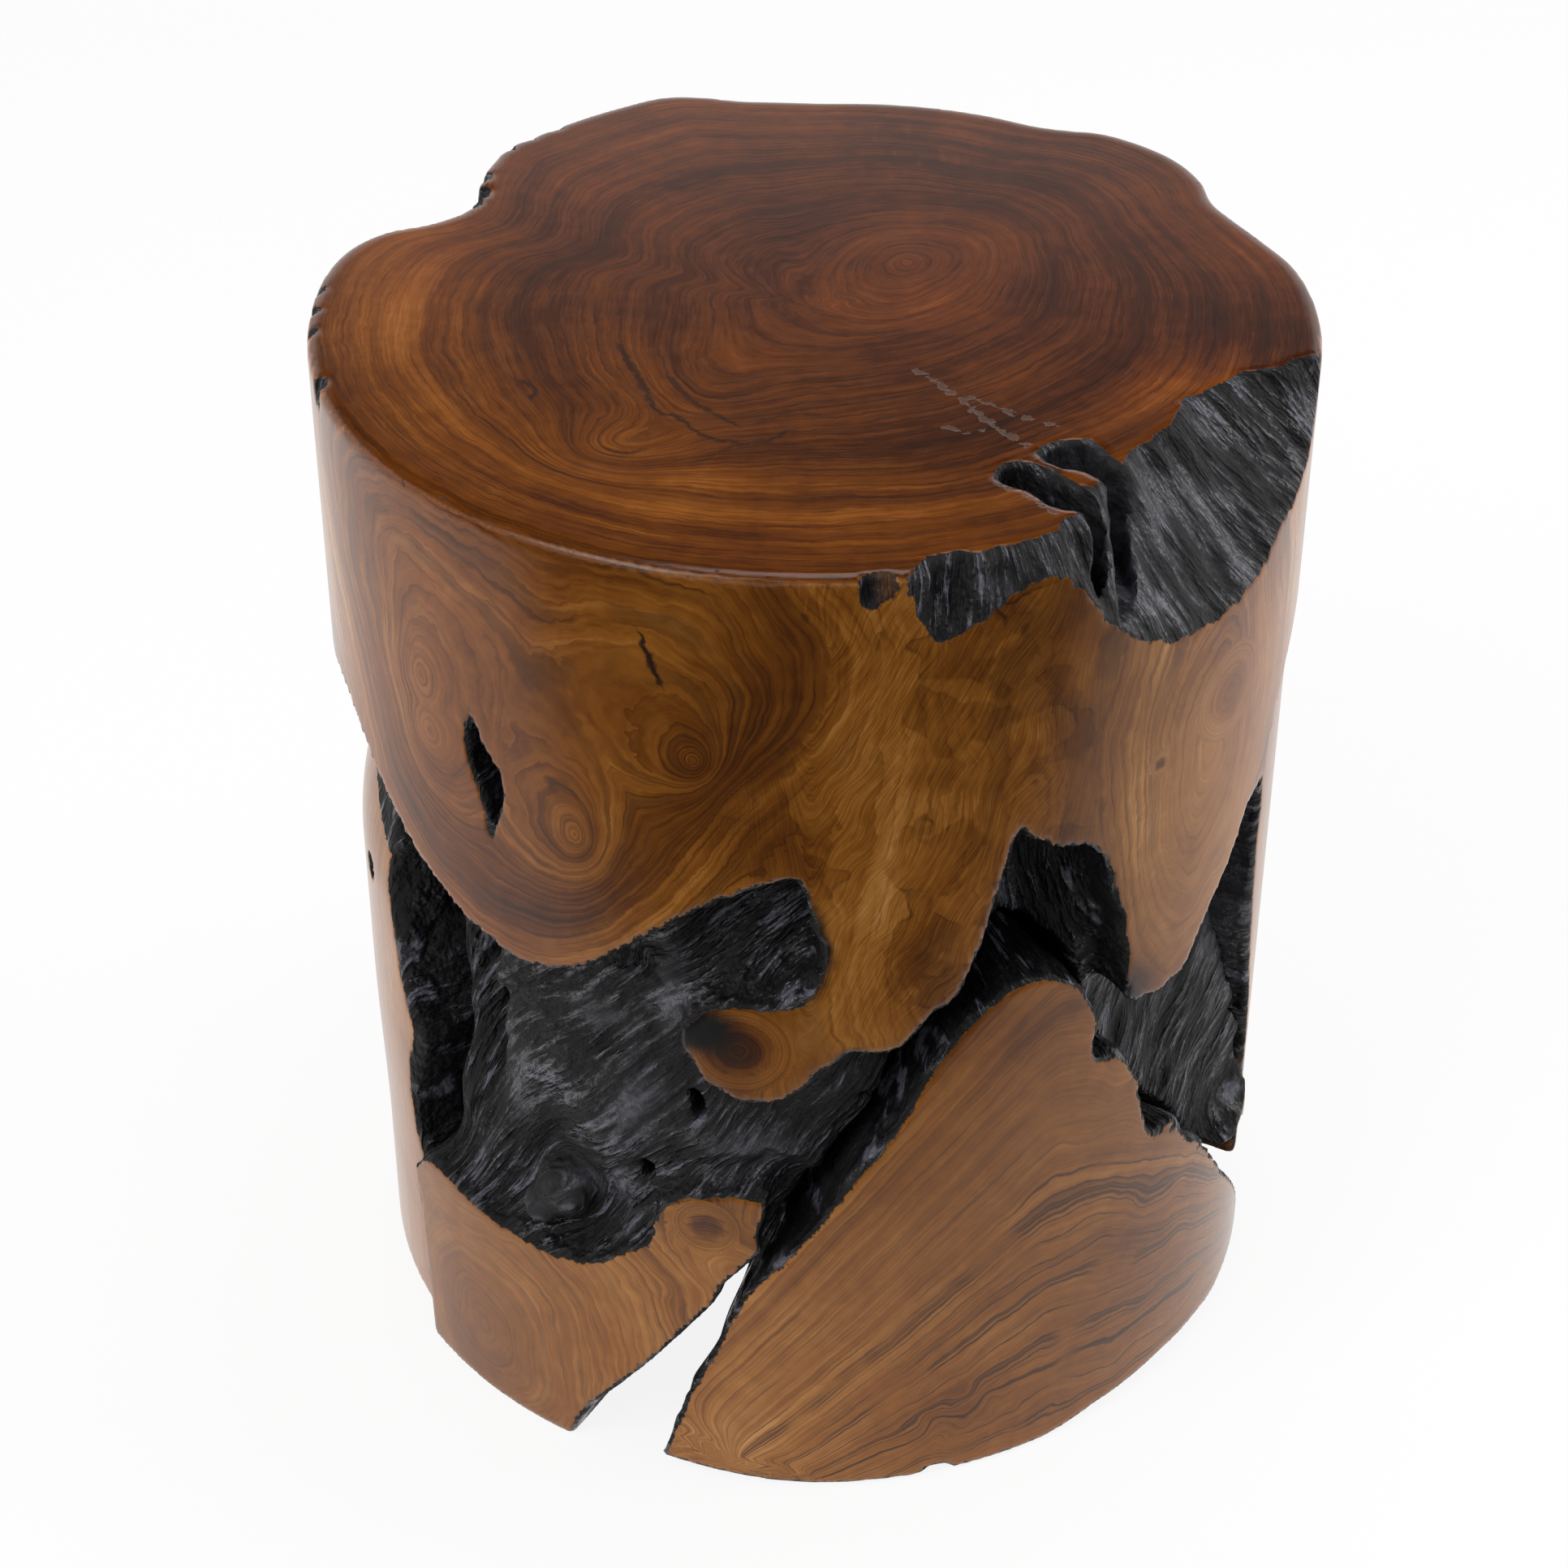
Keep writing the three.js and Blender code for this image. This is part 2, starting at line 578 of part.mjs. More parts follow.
const trunkCuts = [
  rimNotch(),
  rimSlot(upperSlotShares),
  rimSlot(lowerSlotShares),
  radialPrism(unrolled(crackShares), drumRadius - crackDepth),
  hollow(frontHollowShares, frontLumpShares),
  hollow(backLeftHollowShares, backLeftLumpShares),
  hollow(backRightHollowShares, backRightLumpShares),
  socket(rightFootShares, footSlotWidth, footJointAngle, footJointDistance),
  socket(leftRootShares, seamGap, leftJointAngle, leftJointDistance),
  socket(rearRootShares, seamGap, rearJointAngle, rearJointDistance),
  vault(),
  radialPrism(unrolled(frontWedgeShares), archInnerRadius),
  radialPrism(unrolled(backLeftArchShares), archInnerRadius),
  radialPrism(unrolled(backRightArchShares), archInnerRadius),
  ...bores([...footDowels, ...leftDowels, ...rearDowels]),
  screwBore,
];
const trunk = trunkCuts.reduce((left, cut) => left.subtract(cut), blank);

const polishedRoot = new THREE.MeshStandardMaterial({ color: 0x7a4a26, roughness: 0.32 });
const polishedFoot = new THREE.MeshStandardMaterial({ color: 0x9a653a, roughness: 0.34 });
const dowelWood = new THREE.MeshStandardMaterial({ color: 0xb98d5c, roughness: 0.7 });
const plugWood = new THREE.MeshStandardMaterial({ color: 0xa87340, roughness: 0.4 });
const screwSteel = new THREE.MeshStandardMaterial({
  color: 0xa9a69c,
  roughness: 0.4,
  metalness: 1,
});

const stool = new THREE.Group();
stool.name = "stump_stool";
stool.add(piece("stump_trunk", trunk, polishedRoot));
stool.add(piece("right_foot_root", rightFoot, polishedFoot));
stool.add(piece("left_side_root", leftRoot, polishedFoot));
stool.add(piece("rear_right_root", rearRoot, polishedFoot));
stool.add(piece("left_root_screw", screw, screwSteel));
stool.add(piece("left_root_plug", plug, plugWood));
[...footDowels, ...leftDowels, ...rearDowels].forEach(({ name, dowel }) =>
  stool.add(piece(name, dowel, dowelWood)),
);

export default stool;
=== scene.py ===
"""A drum-shaped stool turned from a root stump: polished wood outside, char in its natural hollows.

Shapes are fields on a grid of small cells, in millimetres, negative inside the wood, and meshed where the
field is zero. Angles are in degrees about Z, from the front (-Y), growing towards the right (+X).
"""
import itertools
import math

import bpy
import numpy as np
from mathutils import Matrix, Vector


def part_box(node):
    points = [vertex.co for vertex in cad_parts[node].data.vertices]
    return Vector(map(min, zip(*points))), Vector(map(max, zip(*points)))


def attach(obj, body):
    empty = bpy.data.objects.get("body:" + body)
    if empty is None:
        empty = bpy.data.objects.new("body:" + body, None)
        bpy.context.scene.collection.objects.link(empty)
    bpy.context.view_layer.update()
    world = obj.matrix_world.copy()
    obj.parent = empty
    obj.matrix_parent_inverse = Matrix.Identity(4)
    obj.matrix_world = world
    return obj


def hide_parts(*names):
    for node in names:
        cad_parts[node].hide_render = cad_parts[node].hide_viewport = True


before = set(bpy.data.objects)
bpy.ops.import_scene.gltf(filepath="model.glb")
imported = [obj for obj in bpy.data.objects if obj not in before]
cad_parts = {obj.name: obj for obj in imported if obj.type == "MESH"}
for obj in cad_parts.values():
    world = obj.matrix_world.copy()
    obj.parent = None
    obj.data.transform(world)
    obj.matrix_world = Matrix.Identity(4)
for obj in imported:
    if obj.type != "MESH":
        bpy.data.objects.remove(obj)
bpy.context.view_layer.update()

import openvdb
from mathutils import Vector

MM = 0.001

# Sizes that the CAD model has too
SEAT_HEIGHT = 450.0
DRUM_RADIUS = 197.0
LEFT_SKIN = 191.5
REAR_SKIN = 194.5
FOOT_PLANE = (28.0, 112.0)
LEFT_PLANE = (-84.0, 141.5)
REAR_PLANE = (90.0, 140.0)
GLUED_GAP = 0.3
BORE_GAP = 0.3
FOOT_SLOT = 8.0
SEAM = 0.6
VAULT_RADIUS = 128.0
VAULT_HEIGHT = 112.0
ARCH_INNER = 60.0
CRACK_DEPTH = 26.0
HOLLOW_BASE = 19.0
DOWEL = 16.0
DOWEL_END_SPACE = 2.0
DOWEL_LENGTHS = {"foot": 80.0, "left": 66.0, "rear": 72.0}
PLUG = 10.0
PLUG_DEPTH = 14.0
SCREW_HEAD = 4.0
SCREW_SHANK = 6.0
SCREW_LENGTH = 76.0
SCREW_ANGLE = -74.0
SCREW_HEIGHT = 0.483 * SEAT_HEIGHT
ARC = math.radians(DRUM_RADIUS)  # millimetres of skin per degree

# The visible surface is rounder than the CAD's facets, and stays inside them
RIM_ROUND = 5.0
FLOOR_ROUND = 3.0
PLAN_FIT = 0.9994
# How far the edge of each cut is rounded, and the corner inside it
EDGE = {
    "hollow": 1.4, "hole": 2.0, "notch": 1.6, "slot": 1.4, "chip": 1.5, "crack": 1.2, "foot": 2.0,
    "root": 1.2, "vault": 3.0, "arch": 2.0,
}
CORNER = {"hollow": 12.0, "crack": 4.0, "foot": 3.0, "arch": 4.0}
# Less than in the CAD model, so that the slots in the rim don't cut the skin below the notch
RIM_SLOT_DEPTH = 42.0
# Sizes of the cells that the pieces are meshed on
TRUNK_CELL = 2.0
BLOCK_CELL = 1.8
TRUNK_BOX = (-206, -206, -6), (206, 214, 456)
# How much narrower a root block gets towards the middle
BLOCK_TAPER = 0.12
# How far a hollow climbs behind its outline, for each millimetre of depth, and the depth where it stops
CLIMB = 0.35
CLIMB_END = 60.0

# The turned drum seen from above: angle, and radius as a share of the drum's
PLAN_SHARES = [
    (-180, 0.97), (-171, 0.992), (-166, 1.03), (-161.7, 1.05), (-156, 1.036), (-148, 1.014),
    (-142, 0.998), (-138.5, 0.992), (-135, 0.962), (-131, 0.928), (-126, 0.876), (-121, 0.85),
    (-118, 0.862), (-114.5, 0.893), (-111, 0.948), (-106, 0.986), (-99, 1), (-90, 1), (-60, 1),
    (-30, 1), (0, 1), (30, 1), (60, 1), (90, 1), (101, 0.994), (108, 0.974), (115, 0.962),
    (120, 0.968), (125, 1.008), (131, 1.036), (137, 1.04), (142, 1.03), (146, 1), (150, 0.982),
    (157, 0.984), (165, 0.982), (172, 0.976),
]

# Outlines on the skin: angle, and height as a share of the seat's
FRONT_HOLLOW = [
    (-118, 0.705), (-104, 0.712), (-90, 0.705), (-80, 0.695), (-72, 0.704), (-67, 0.693),
    (-61, 0.66), (-55, 0.624), (-50, 0.602), (-45, 0.582), (-40, 0.569), (-36, 0.562), (-32, 0.564),
    (-28, 0.573), (-25, 0.589), (-22, 0.613), (-17, 0.644), (-13, 0.667), (-10, 0.684), (-5, 0.702),
    (-2, 0.713), (-1, 0.689), (0, 0.656), (1, 0.633), (0, 0.6), (-2, 0.574), (-6, 0.573),
    (-10, 0.576), (-14, 0.557), (-15.5, 0.533), (-14, 0.502), (-11, 0.476), (-8, 0.467),
    (-4, 0.471), (-1, 0.49), (0, 0.504), (2, 0.511), (4, 0.527), (6, 0.518), (9, 0.522),
    (11, 0.533), (13, 0.562), (16, 0.569), (17, 0.589), (19, 0.633), (20, 0.667), (21, 0.7),
    (22, 0.73), (22.7, 0.738), (24, 0.722), (27, 0.707), (30, 0.7), (32, 0.696), (33.3, 0.678),
    (35, 0.644), (36.6, 0.611), (37.6, 0.578), (38.3, 0.533), (38.6, 0.498), (42, 0.496),
    (45, 0.496), (49, 0.5), (50, 0.511), (52, 0.538), (55, 0.562), (58, 0.589), (60, 0.611),
    (62, 0.624), (66, 0.632), (72, 0.6), (80, 0.5), (80, 0.2), (60, 0.17), (30, 0.17), (0, 0.2),
    (-7, 0.3), (-5, 0.345), (-6, 0.358), (-9, 0.36), (-12, 0.356), (-15, 0.351), (-17, 0.338),
    (-18.5, 0.322), (-19.5, 0.289), (-22, 0.271), (-26, 0.244), (-30, 0.233), (-35, 0.229),
    (-45, 0.233), (-50, 0.24), (-56, 0.24), (-60, 0.2), (-75, 0.17), (-118, 0.17),
]
BACK_LEFT_HOLLOW = [
    (-111, -0.05), (-111, 0.2), (-110, 0.45), (-110, 0.65), (-113, 0.78), (-119, 0.87),
    (-127, 0.88), (-133, 0.8), (-139, 0.62), (-145, 0.42), (-150, 0.2), (-152, -0.05),
]
BACK_RIGHT_HOLLOW = [
    (107, -0.05), (110, 0.3), (111, 0.5), (114, 0.63), (119, 0.7), (125, 0.69), (132, 0.6),
    (138, 0.44), (143, 0.26), (147, 0.1), (148, -0.05),
]
RIGHT_FOOT = [
    (-19, 0.016), (-17, 0.062), (-15, 0.111), (-12, 0.167), (-8.5, 0.24), (-4, 0.284), (0, 0.329),
    (4, 0.378), (7, 0.411), (10, 0.451), (13, 0.5), (16, 0.533), (19, 0.556), (22, 0.571),
    (25, 0.576), (28, 0.569), (31, 0.553), (33, 0.533), (34.3, 0.5), (34.6, 0.455), (38, 0.449),
    (40, 0.427), (42, 0.389), (43, 0.362), (44, 0.344), (45, 0.318), (48, 0.324), (50, 0.311),
    (52, 0.289), (55, 0.267), (58, 0.244), (60, 0.222), (63, 0.189), (66, 0.16), (70, 0.127),
    (74, 0.092), (78, 0.055), (81, 0.02), (82, 0), (66, 0), (60, 0.009), (50, 0.015), (38, 0.011),
    (30, 0), (17.6, 0), (16.5, 0.009), (14.5, 0.009), (13.4, 0), (0, 0), (-8, 0.006),
]
LEFT_ROOT = [
    (-57.5, 0), (-58, 0.067), (-58.8, 0.167), (-59.3, 0.2), (-61.4, 0.23), (-62.1, 0.27),
    (-61.4, 0.31), (-60, 0.337), (-58.8, 0.365), (-60.3, 0.387), (-62, 0.415), (-63.2, 0.465),
    (-64.5, 0.51), (-64.3, 0.55), (-66.5, 0.58), (-70.5, 0.6), (-76, 0.6), (-83, 0.585),
    (-91, 0.565), (-99, 0.52), (-105, 0.45), (-108, 0.36), (-109.5, 0.27), (-110.5, 0.17),
    (-113, 0.06), (-113.5, 0),
]
REAR_ROOT = [
    (76.5, 0.11), (76.6, 0.2), (76, 0.28), (73.6, 0.335), (71.6, 0.375), (70.2, 0.43), (69, 0.48),
    (68.4, 0.53), (68.6, 0.58), (67.2, 0.64), (69, 0.69), (73, 0.725), (78, 0.75), (85, 0.765),
    (94, 0.762), (102, 0.73), (108, 0.66), (110.5, 0.56), (111, 0.44), (109.5, 0.3), (107.5, 0.2),
    (105, 0.11),
]
FRONT_WEDGE = [
    (-33, -0.03), (-29, 0.044), (-25, 0.084), (-20, 0.133), (-16, 0.178), (-13, 0.211),
    (-10, 0.238), (-3, 0.238), (6, 0.1), (6, -0.03),
]
BACK_LEFT_ARCH = [
    (-112, -0.03), (-112, 0.12), (-116, 0.22), (-124, 0.28), (-133, 0.27), (-141, 0.2), (-146, 0.1),
    (-149, -0.03),
]
BACK_RIGHT_ARCH = [
    (66, -0.03), (62, 0.1), (62, 0.18), (77, 0.18), (77, 0.11), (111, 0.11), (115, 0.24),
    (122, 0.3), (131, 0.3), (138, 0.22), (143, 0.12), (146, -0.03),
]
CRACK = [
    (-40.5, 0.8), (-41.5, 0.773), (-40.6, 0.745), (-39.2, 0.72), (-38.5, 0.684), (-37.6, 0.705),
    (-36.4, 0.733), (-37, 0.757), (-39.3, 0.777),
]
# Angle, share of the seat's radius at the edge, share of the seat's height at the notch's foot
RIM_NOTCH = [
    (9, 0.999, 0.99), (10, 0.985, 0.965), (12.3, 0.95, 0.938), (16, 0.95, 0.947),
    (18.6, 0.953, 0.958), (21, 0.952, 0.974), (24, 0.948, 0.982), (27, 0.944, 0.968),
    (29, 0.93, 0.955), (31.5, 0.905, 0.927), (34, 0.875, 0.908), (38, 0.85, 0.884),
    (43.3, 0.836, 0.87), (48.8, 0.81, 0.866), (53.4, 0.81, 0.871), (57, 0.8, 0.876),
    (59.6, 0.79, 0.888), (63.4, 0.797, 0.906), (68.8, 0.84, 0.912), (72.2, 0.868, 0.921),
    (75.4, 0.94, 0.932), (78.5, 0.985, 0.955), (80, 0.998, 0.985),
]
UPPER_SLOT = [
    (0.405, -0.55), (0.477, -0.513), (0.512, -0.52), (0.55, -0.594), (0.577, -0.65), (0.585, -0.75),
    (0.575, -0.84), (0.545, -0.84), (0.548, -0.74), (0.535, -0.67), (0.508, -0.632), (0.44, -0.602),
]
LOWER_SLOT = [
    (0.32, -0.655), (0.345, -0.605), (0.396, -0.599), (0.425, -0.622), (0.482, -0.69),
    (0.515, -0.72), (0.53, -0.76), (0.52, -0.82), (0.49, -0.82), (0.492, -0.765), (0.437, -0.756),
    (0.39, -0.7),
]
# Lumps (negative) and pits on a hollow's floor: angle, height share, half width in degrees, half
# height share, depth in millimetres
FRONT_LUMPS = [
    (-38, 0.25, 26, 0.07, -5), (-28, 0.355, 6.5, 0.05, -10), (-12, 0.38, 7, 0.05, -6),
    (-1, 0.49, 8, 0.05, -12), (-10, 0.645, 8, 0.05, 4), (28, 0.6, 6, 0.09, 20),
    (-50, 0.46, 3.2, 0.12, 41), (-60, 0.38, 3.6, 0.2, 28), (-82, 0.66, 18, 0.07, 24),
    (52, 0.42, 13, 0.14, 16), (80, 0.38, 9, 0.45, -17), (-33, 0.289, 9, 0.075, 8),
    (-18, 0.56, 2.6, 0.08, -5), (-23, 0.41, 4, 0.05, -4), (-9, 0.39, 6, 0.022, -5), (0, 0.62, 5, 0.05, 7),
]
BACK_LEFT_LUMPS = [(-126, 0.3, 13, 0.3, 28), (-121, 0.8, 10, 0.1, -8)]
BACK_RIGHT_LUMPS = [(126, 0.35, 11, 0.28, 30)]
# Outline, lumps, and the lean of the teeth along its edge
HOLLOWS = [
    (FRONT_HOLLOW, FRONT_LUMPS, 0.5),
    (BACK_LEFT_HOLLOW, BACK_LEFT_LUMPS, 0.1),
    (BACK_RIGHT_HOLLOW, BACK_RIGHT_LUMPS, 0.1),
]


def smooth_max(a, b, k):
    """The larger of two fields, rounded over about k where they are alike."""
    h = np.clip(0.5 + 0.5 * (a - b) / k, 0, 1)
    return b + h * (a - b) + k * h * (1 - h)


def smooth_min(a, b, k):
    return -smooth_max(-a, -b, k)


def step(value, low, high):
    """A smooth rise from 0 at low to 1 at high."""
    t = np.clip((value - low) / (high - low), 0, 1)
    return t * t * (3 - 2 * t)


def lattice(cell, seed):
    """A fixed number between -1 and 1 for each whole-number cell."""
    mixed = np.full(cell.shape[:-1], (seed * 374761393 + 1013904223) & 0xFFFFFFFF, np.uint32)
    for axis, prime in zip(range(cell.shape[-1]), (668265263, 2246822519, 3266489917)):
        mixed ^= cell[..., axis].astype(np.uint32) * np.uint32(prime)
        mixed = (mixed ^ (mixed >> np.uint32(13))) * np.uint32(1274126177)
    mixed ^= mixed >> np.uint32(16)
    return (mixed & np.uint32(0xFFFFFF)).astype(np.float32) / 0x7FFFFF - 1


def noise(*coordinates, seed=0, octaves=1):
    """Smooth noise between about -1 and 1."""
    p = np.stack(np.broadcast_arrays(*coordinates), -1).astype(np.float32)
    total = np.zeros(p.shape[:-1], np.float32)
    size = 1.0
    for octave in range(octaves):
        base = np.floor(p)
        f = p - base
        f = f * f * (3 - 2 * f)
        base = base.astype(np.int64)
        for corner in itertools.product((0, 1), repeat=p.shape[-1]):
            weight = np.prod(np.where(corner, f, 1 - f), -1)
            total += size * weight * lattice(base + np.array(corner), seed + 17 * octave)
        p = p * 2.03
        size *= 0.5
    return total


def inside_distance(points, outline):
    """How far each 2-D point lies inside an outline, negative outside."""
    nearest = np.full(points.shape[:-1], np.inf, np.float32)
    inside = np.zeros(points.shape[:-1], bool)
    x, y = points[..., 0], points[..., 1]
    for (ax, ay), (bx, by) in zip(outline, np.roll(outline, -1, 0)):
        ex, ey = bx - ax, by - ay
        t = np.clip(((x - ax) * ex + (y - ay) * ey) / (ex * ex + ey * ey + 1e-12), 0, 1)
        nearest = np.minimum(nearest, (x - ax - ex * t) ** 2 + (y - ay - ey * t) ** 2)
        if ay != by:
            crosses = ((ay > y) != (by > y)) & (x < ax + ex * (y - ay) / ey)
            inside ^= crosses
    nearest = np.sqrt(nearest)
    return np.where(inside, nearest, -nearest)


def rounded(points, turns=2):
    """A closed outline with its corners cut, turn by turn."""
    for _ in range(turns):
        after = np.roll(points, -1, 0)
        points = np.stack([0.75 * points + 0.25 * after, 0.25 * points + 0.75 * after], 1)
        points = points.reshape(-1, 2)
    return points


def unrolled(outline, turns=0):
    """An outline on the skin in millimetres of arc and height, with its corners cut."""
    return rounded(np.array(outline, float) * (ARC, SEAT_HEIGHT), turns)


def plan_table():
    """The plan's radius at every half degree, on a smooth curve through the table."""
    table = np.array(PLAN_SHARES)
    n = len(table)
    angles = np.concatenate([table[:, 0] - 360, table[:, 0], table[:, 0] + 360])
    shares = np.tile(table[:, 1], 3)
    at = np.arange(-180, 180, 0.5)
    i = np.clip(np.searchsorted(angles, at, side="right") - 1, 1, 3 * n - 3)
    t = (at - angles[i]) / (angles[i + 1] - angles[i])
    before, here, there, after = (shares[i + k] for k in (-1, 0, 1, 2))
    m0 = (there - before) / (angles[i + 1] - angles[i - 1]) * (angles[i + 1] - angles[i])
    m1 = (after - here) / (angles[i + 2] - angles[i]) * (angles[i + 1] - angles[i])
    t2, t3 = t * t, t * t * t
    share = (2 * t3 - 3 * t2 + 1) * here + (t3 - 2 * t2 + t) * m0
    share += (3 * t2 - 2 * t3) * there + (t3 - t2) * m1
    return at, share * DRUM_RADIUS * PLAN_FIT


PLAN_ANGLES, PLAN_RADII = plan_table()


def plan_radius(angle, skin=DRUM_RADIUS):
    return np.interp(angle, PLAN_ANGLES, PLAN_RADII, period=360) * (skin / DRUM_RADIUS)


def polar(x, y):
    """Angle in degrees from the front, and distance from the axis."""
    return np.degrees(np.arctan2(x, -y)), np.hypot(x, y)


def cylindrical(p):
    """Angle, distance from the axis, and height of points."""
    return *polar(p[:, 0], p[:, 1]), p[:, 2]


def apart(angle, height, place):
    """Distances along the skin from a place given by angle and height."""
    turn = (angle - place[0] + 180) % 360 - 180
    return turn * ARC, height - place[1]


def bell(across, up, wide, tall):
    """1 in the middle of a soft patch, which fades over its half width and half height."""
    return np.exp(-((across / wide) ** 2) - (up / tall) ** 2)


def cloud(angle, height, place):
    """A soft patch on the skin: its angle, height, half width in degrees and half height."""
    du, dv = apart(angle, height, place)
    return bell(du / ARC, dv, place[2], place[3])


class SkinMap:
    """A value over the whole unrolled skin, by angle and height."""

    STEP_ANGLE = 0.3
    STEP_HEIGHT = 1.0
    LOWEST = -90.0
    HIGHEST = 500.0
    REACH = 45.0
    angles = np.arange(-180, 180, STEP_ANGLE)
    heights = np.arange(LOWEST, HIGHEST, STEP_HEIGHT)

    def __init__(self, values):
        self.values = np.vstack([values, values[:1]]).astype(np.float32)

    @classmethod
    def grid(cls):
        return np.meshgrid(cls.angles * ARC, cls.heights, indexing="ij")

    @classmethod
    def of_outline(cls, outline, ragged=None):
        """How far inside an outline each place of the skin lies. ragged(u, v) shifts the edge."""
        u, v = cls.grid()
        values = np.full(u.shape, -cls.REACH, np.float32)
        low, high = outline.min(0) - cls.REACH, outline.max(0) + cls.REACH
        near = (u > low[0]) & (u < high[0]) & (v > low[1]) & (v < high[1])
        points = np.stack([u[near], v[near]], -1)
        found = np.clip(inside_distance(points, outline), -cls.REACH, cls.REACH)
        if ragged is not None:
            edge = np.exp(-((found / 14) ** 2))
            found = found + ragged(points[:, 0], points[:, 1]) * edge
        values[near] = found
        return cls(values)

    def at(self, angle, height):
        """The value at places of the skin."""
        i = (np.asarray(angle) + 180) % 360 / self.STEP_ANGLE
        j = np.clip((height - self.LOWEST) / self.STEP_HEIGHT, 0, len(self.heights) - 1.001)
        i0, j0 = np.minimum(np.floor(i).astype(int), len(self.angles) - 1), np.floor(j).astype(int)
        fi, fj = i - i0, j - j0
        low, high = (self.values[i0 + k, j0] * (1 - fj) + self.values[i0 + k, j0 + 1] * fj for k in (0, 1))
        return low * (1 - fi) + high * fi


class Cells:
    """A grid of cells round a piece. Fields on it are arrays of numbers by x, y and z."""

    def __init__(self, low, high, size):
        self.size = size
        self.low = np.array(low, float)
        counts = [int(math.ceil((b - a) / size)) + 1 for a, b in zip(low, high)]
        self.xs, self.ys, self.zs = (a + size * np.arange(n) for a, n in zip(low, counts))
        self.x, self.y = np.meshgrid(self.xs, self.ys, indexing="ij")
        self.z = self.zs[None, None, :].astype(np.float32)
        self.angle, self.rho = polar(self.x, self.y)

    def column(self, values):
        return np.asarray(values, np.float32)[..., None]

    def read(self, skin_map, lift=0.0, angle=None):
        """A skin map's values at every cell, from a place that lies lift lower."""
        i = ((self.angle if angle is None else angle) + 180) % 360 / skin_map.STEP_ANGLE
        i0 = np.minimum(np.floor(i).astype(int), len(skin_map.angles) - 1)
        fi = self.column(i - i0)
        rows = skin_map.values[i0] * (1 - fi) + skin_map.values[i0 + 1] * fi
        start = (self.zs[0] - np.broadcast_to(lift, self.x.shape) - skin_map.LOWEST)
        start = start / skin_map.STEP_HEIGHT
        j = start[..., None] + (self.zs - self.zs[0]) / skin_map.STEP_HEIGHT
        j = np.clip(j, 0, rows.shape[-1] - 1.001).astype(np.float32)
        j0 = j.astype(np.int32)
        fj = j - j0
        below = np.take_along_axis(rows, j0, -1)
        return below + (np.take_along_axis(rows, j0 + 1, -1) - below) * fj

    def drum(self, skin=DRUM_RADIUS, hollowed=0.0):
        """The turned envelope, its side drawn in by hollowed."""
        side = self.column(self.rho - plan_radius(self.angle, skin)) + hollowed
        body = smooth_max(side, self.z - np.float32(SEAT_HEIGHT), RIM_ROUND)
        return smooth_max(body, -self.z, FLOOR_ROUND)

    def turned(self, angle):
        """Distances from the axis towards an angle, and square to it."""
        a = math.radians(angle)
        return self.x * math.sin(a) - self.y * math.cos(a), self.x * math.cos(a) + self.y * math.sin(a)

    def beyond(self, plane):
        """How far beyond an upright plane, given by its angle and its distance from the axis."""
        angle, distance = plane
        return self.column(self.turned(angle)[0] - distance)

    def bar(self, diameter, facing, inner, outer, offset, height):
        """How deep inside a round bar that points at an angle."""
        along, across = self.turned(facing)
        radial = np.sqrt(self.column(across - offset) ** 2 + (self.z - height) ** 2)
        ends = self.column(np.minimum(along - inner, outer - along))
        return np.minimum(diameter / 2 - radial, ends)

    def inset(self, outline, turns=0, ragged=None, lift=0.0, angle=None):
        """How far inside an outline on the skin."""
        return self.read(SkinMap.of_outline(unrolled(outline, turns), ragged), lift, angle)


# Char

# Where char's fibres run: angle, height, spread in degrees and in millimetres, lean from the upright
FLOWS = [
    (-32, 175, 16, 60, 45), (-62, 190, 9, 90, 4), (-8, 288, 12, 30, 52), (2, 212, 10, 25, 35),
    (28, 280, 9, 45, -8), (57, 190, 14, 70, 38), (14, 435, 8, 25, 3), (52, 420, 22, 40, -22),
    (-126, 200, 25, 250, 3), (126, 200, 25, 250, -3),
]
# The place that the fibres part round, how far they are pushed, and how soon that fades
PARTING = (-33, 130)
PARTING_PUSH = 300.0
PARTING_CORE = 120.0
PARTING_FADE = 50.0
# The burnt knob: angle, height, distance of its middle from the drum's axis, and radius
KNOB = (-33.5, 128, 177, 14.5)
# The sawn-off branch on it: middle of the sawn face, and the way it points
STUB_FACE = (-111.4, -153.9, 121.5)
STUB_AXIS = (-0.42, -0.85, 0.32)
STUB_RADIUS = 7.5
STUB_LENGTH = 30.0
# Worm holes: angle and height, and how near the drum's axis they end
HOLES = [(-14.1, 190), (-14.5, 193.5), (-14.9, 197), (-21.1, 151), (-21.3, 154), (-21.5, 157), (6, 203)]
HOLE_RADIUS = 2.8
HOLE_END = 160.0
# Smooth, worn char, which the material also paints paler as a painted sheen: angle, height, half width, half
# height
WORN_AND_SHEEN = [
    (-18, 250, 2.6, 34), (-8, 178, 8, 11), (-22.5, 186, 4.5, 22), (-25.5, 142, 2.5, 16),
    (-44, 180, 4, 32), (-36, 121.5, 2.8, 9), (-32, 136, 4, 13), (66, 210, 16, 60),
    (24, 290, 7, 16), (48, 420, 26, 40), (-28, 222, 5, 8),
]
# Grooves and lumps of the char's surface: their size, and the share that wear takes away
FIBRE_LENGTH = 26.0
GROOVE_WIDTH = 5.2
GROOVE_HEIGHT = 1.5
GROOVE_WEAR = 0.8
LUMP_WIDTH = 15.0
LUMP_HEIGHT = 1.7
LUMP_WEAR = 0.6


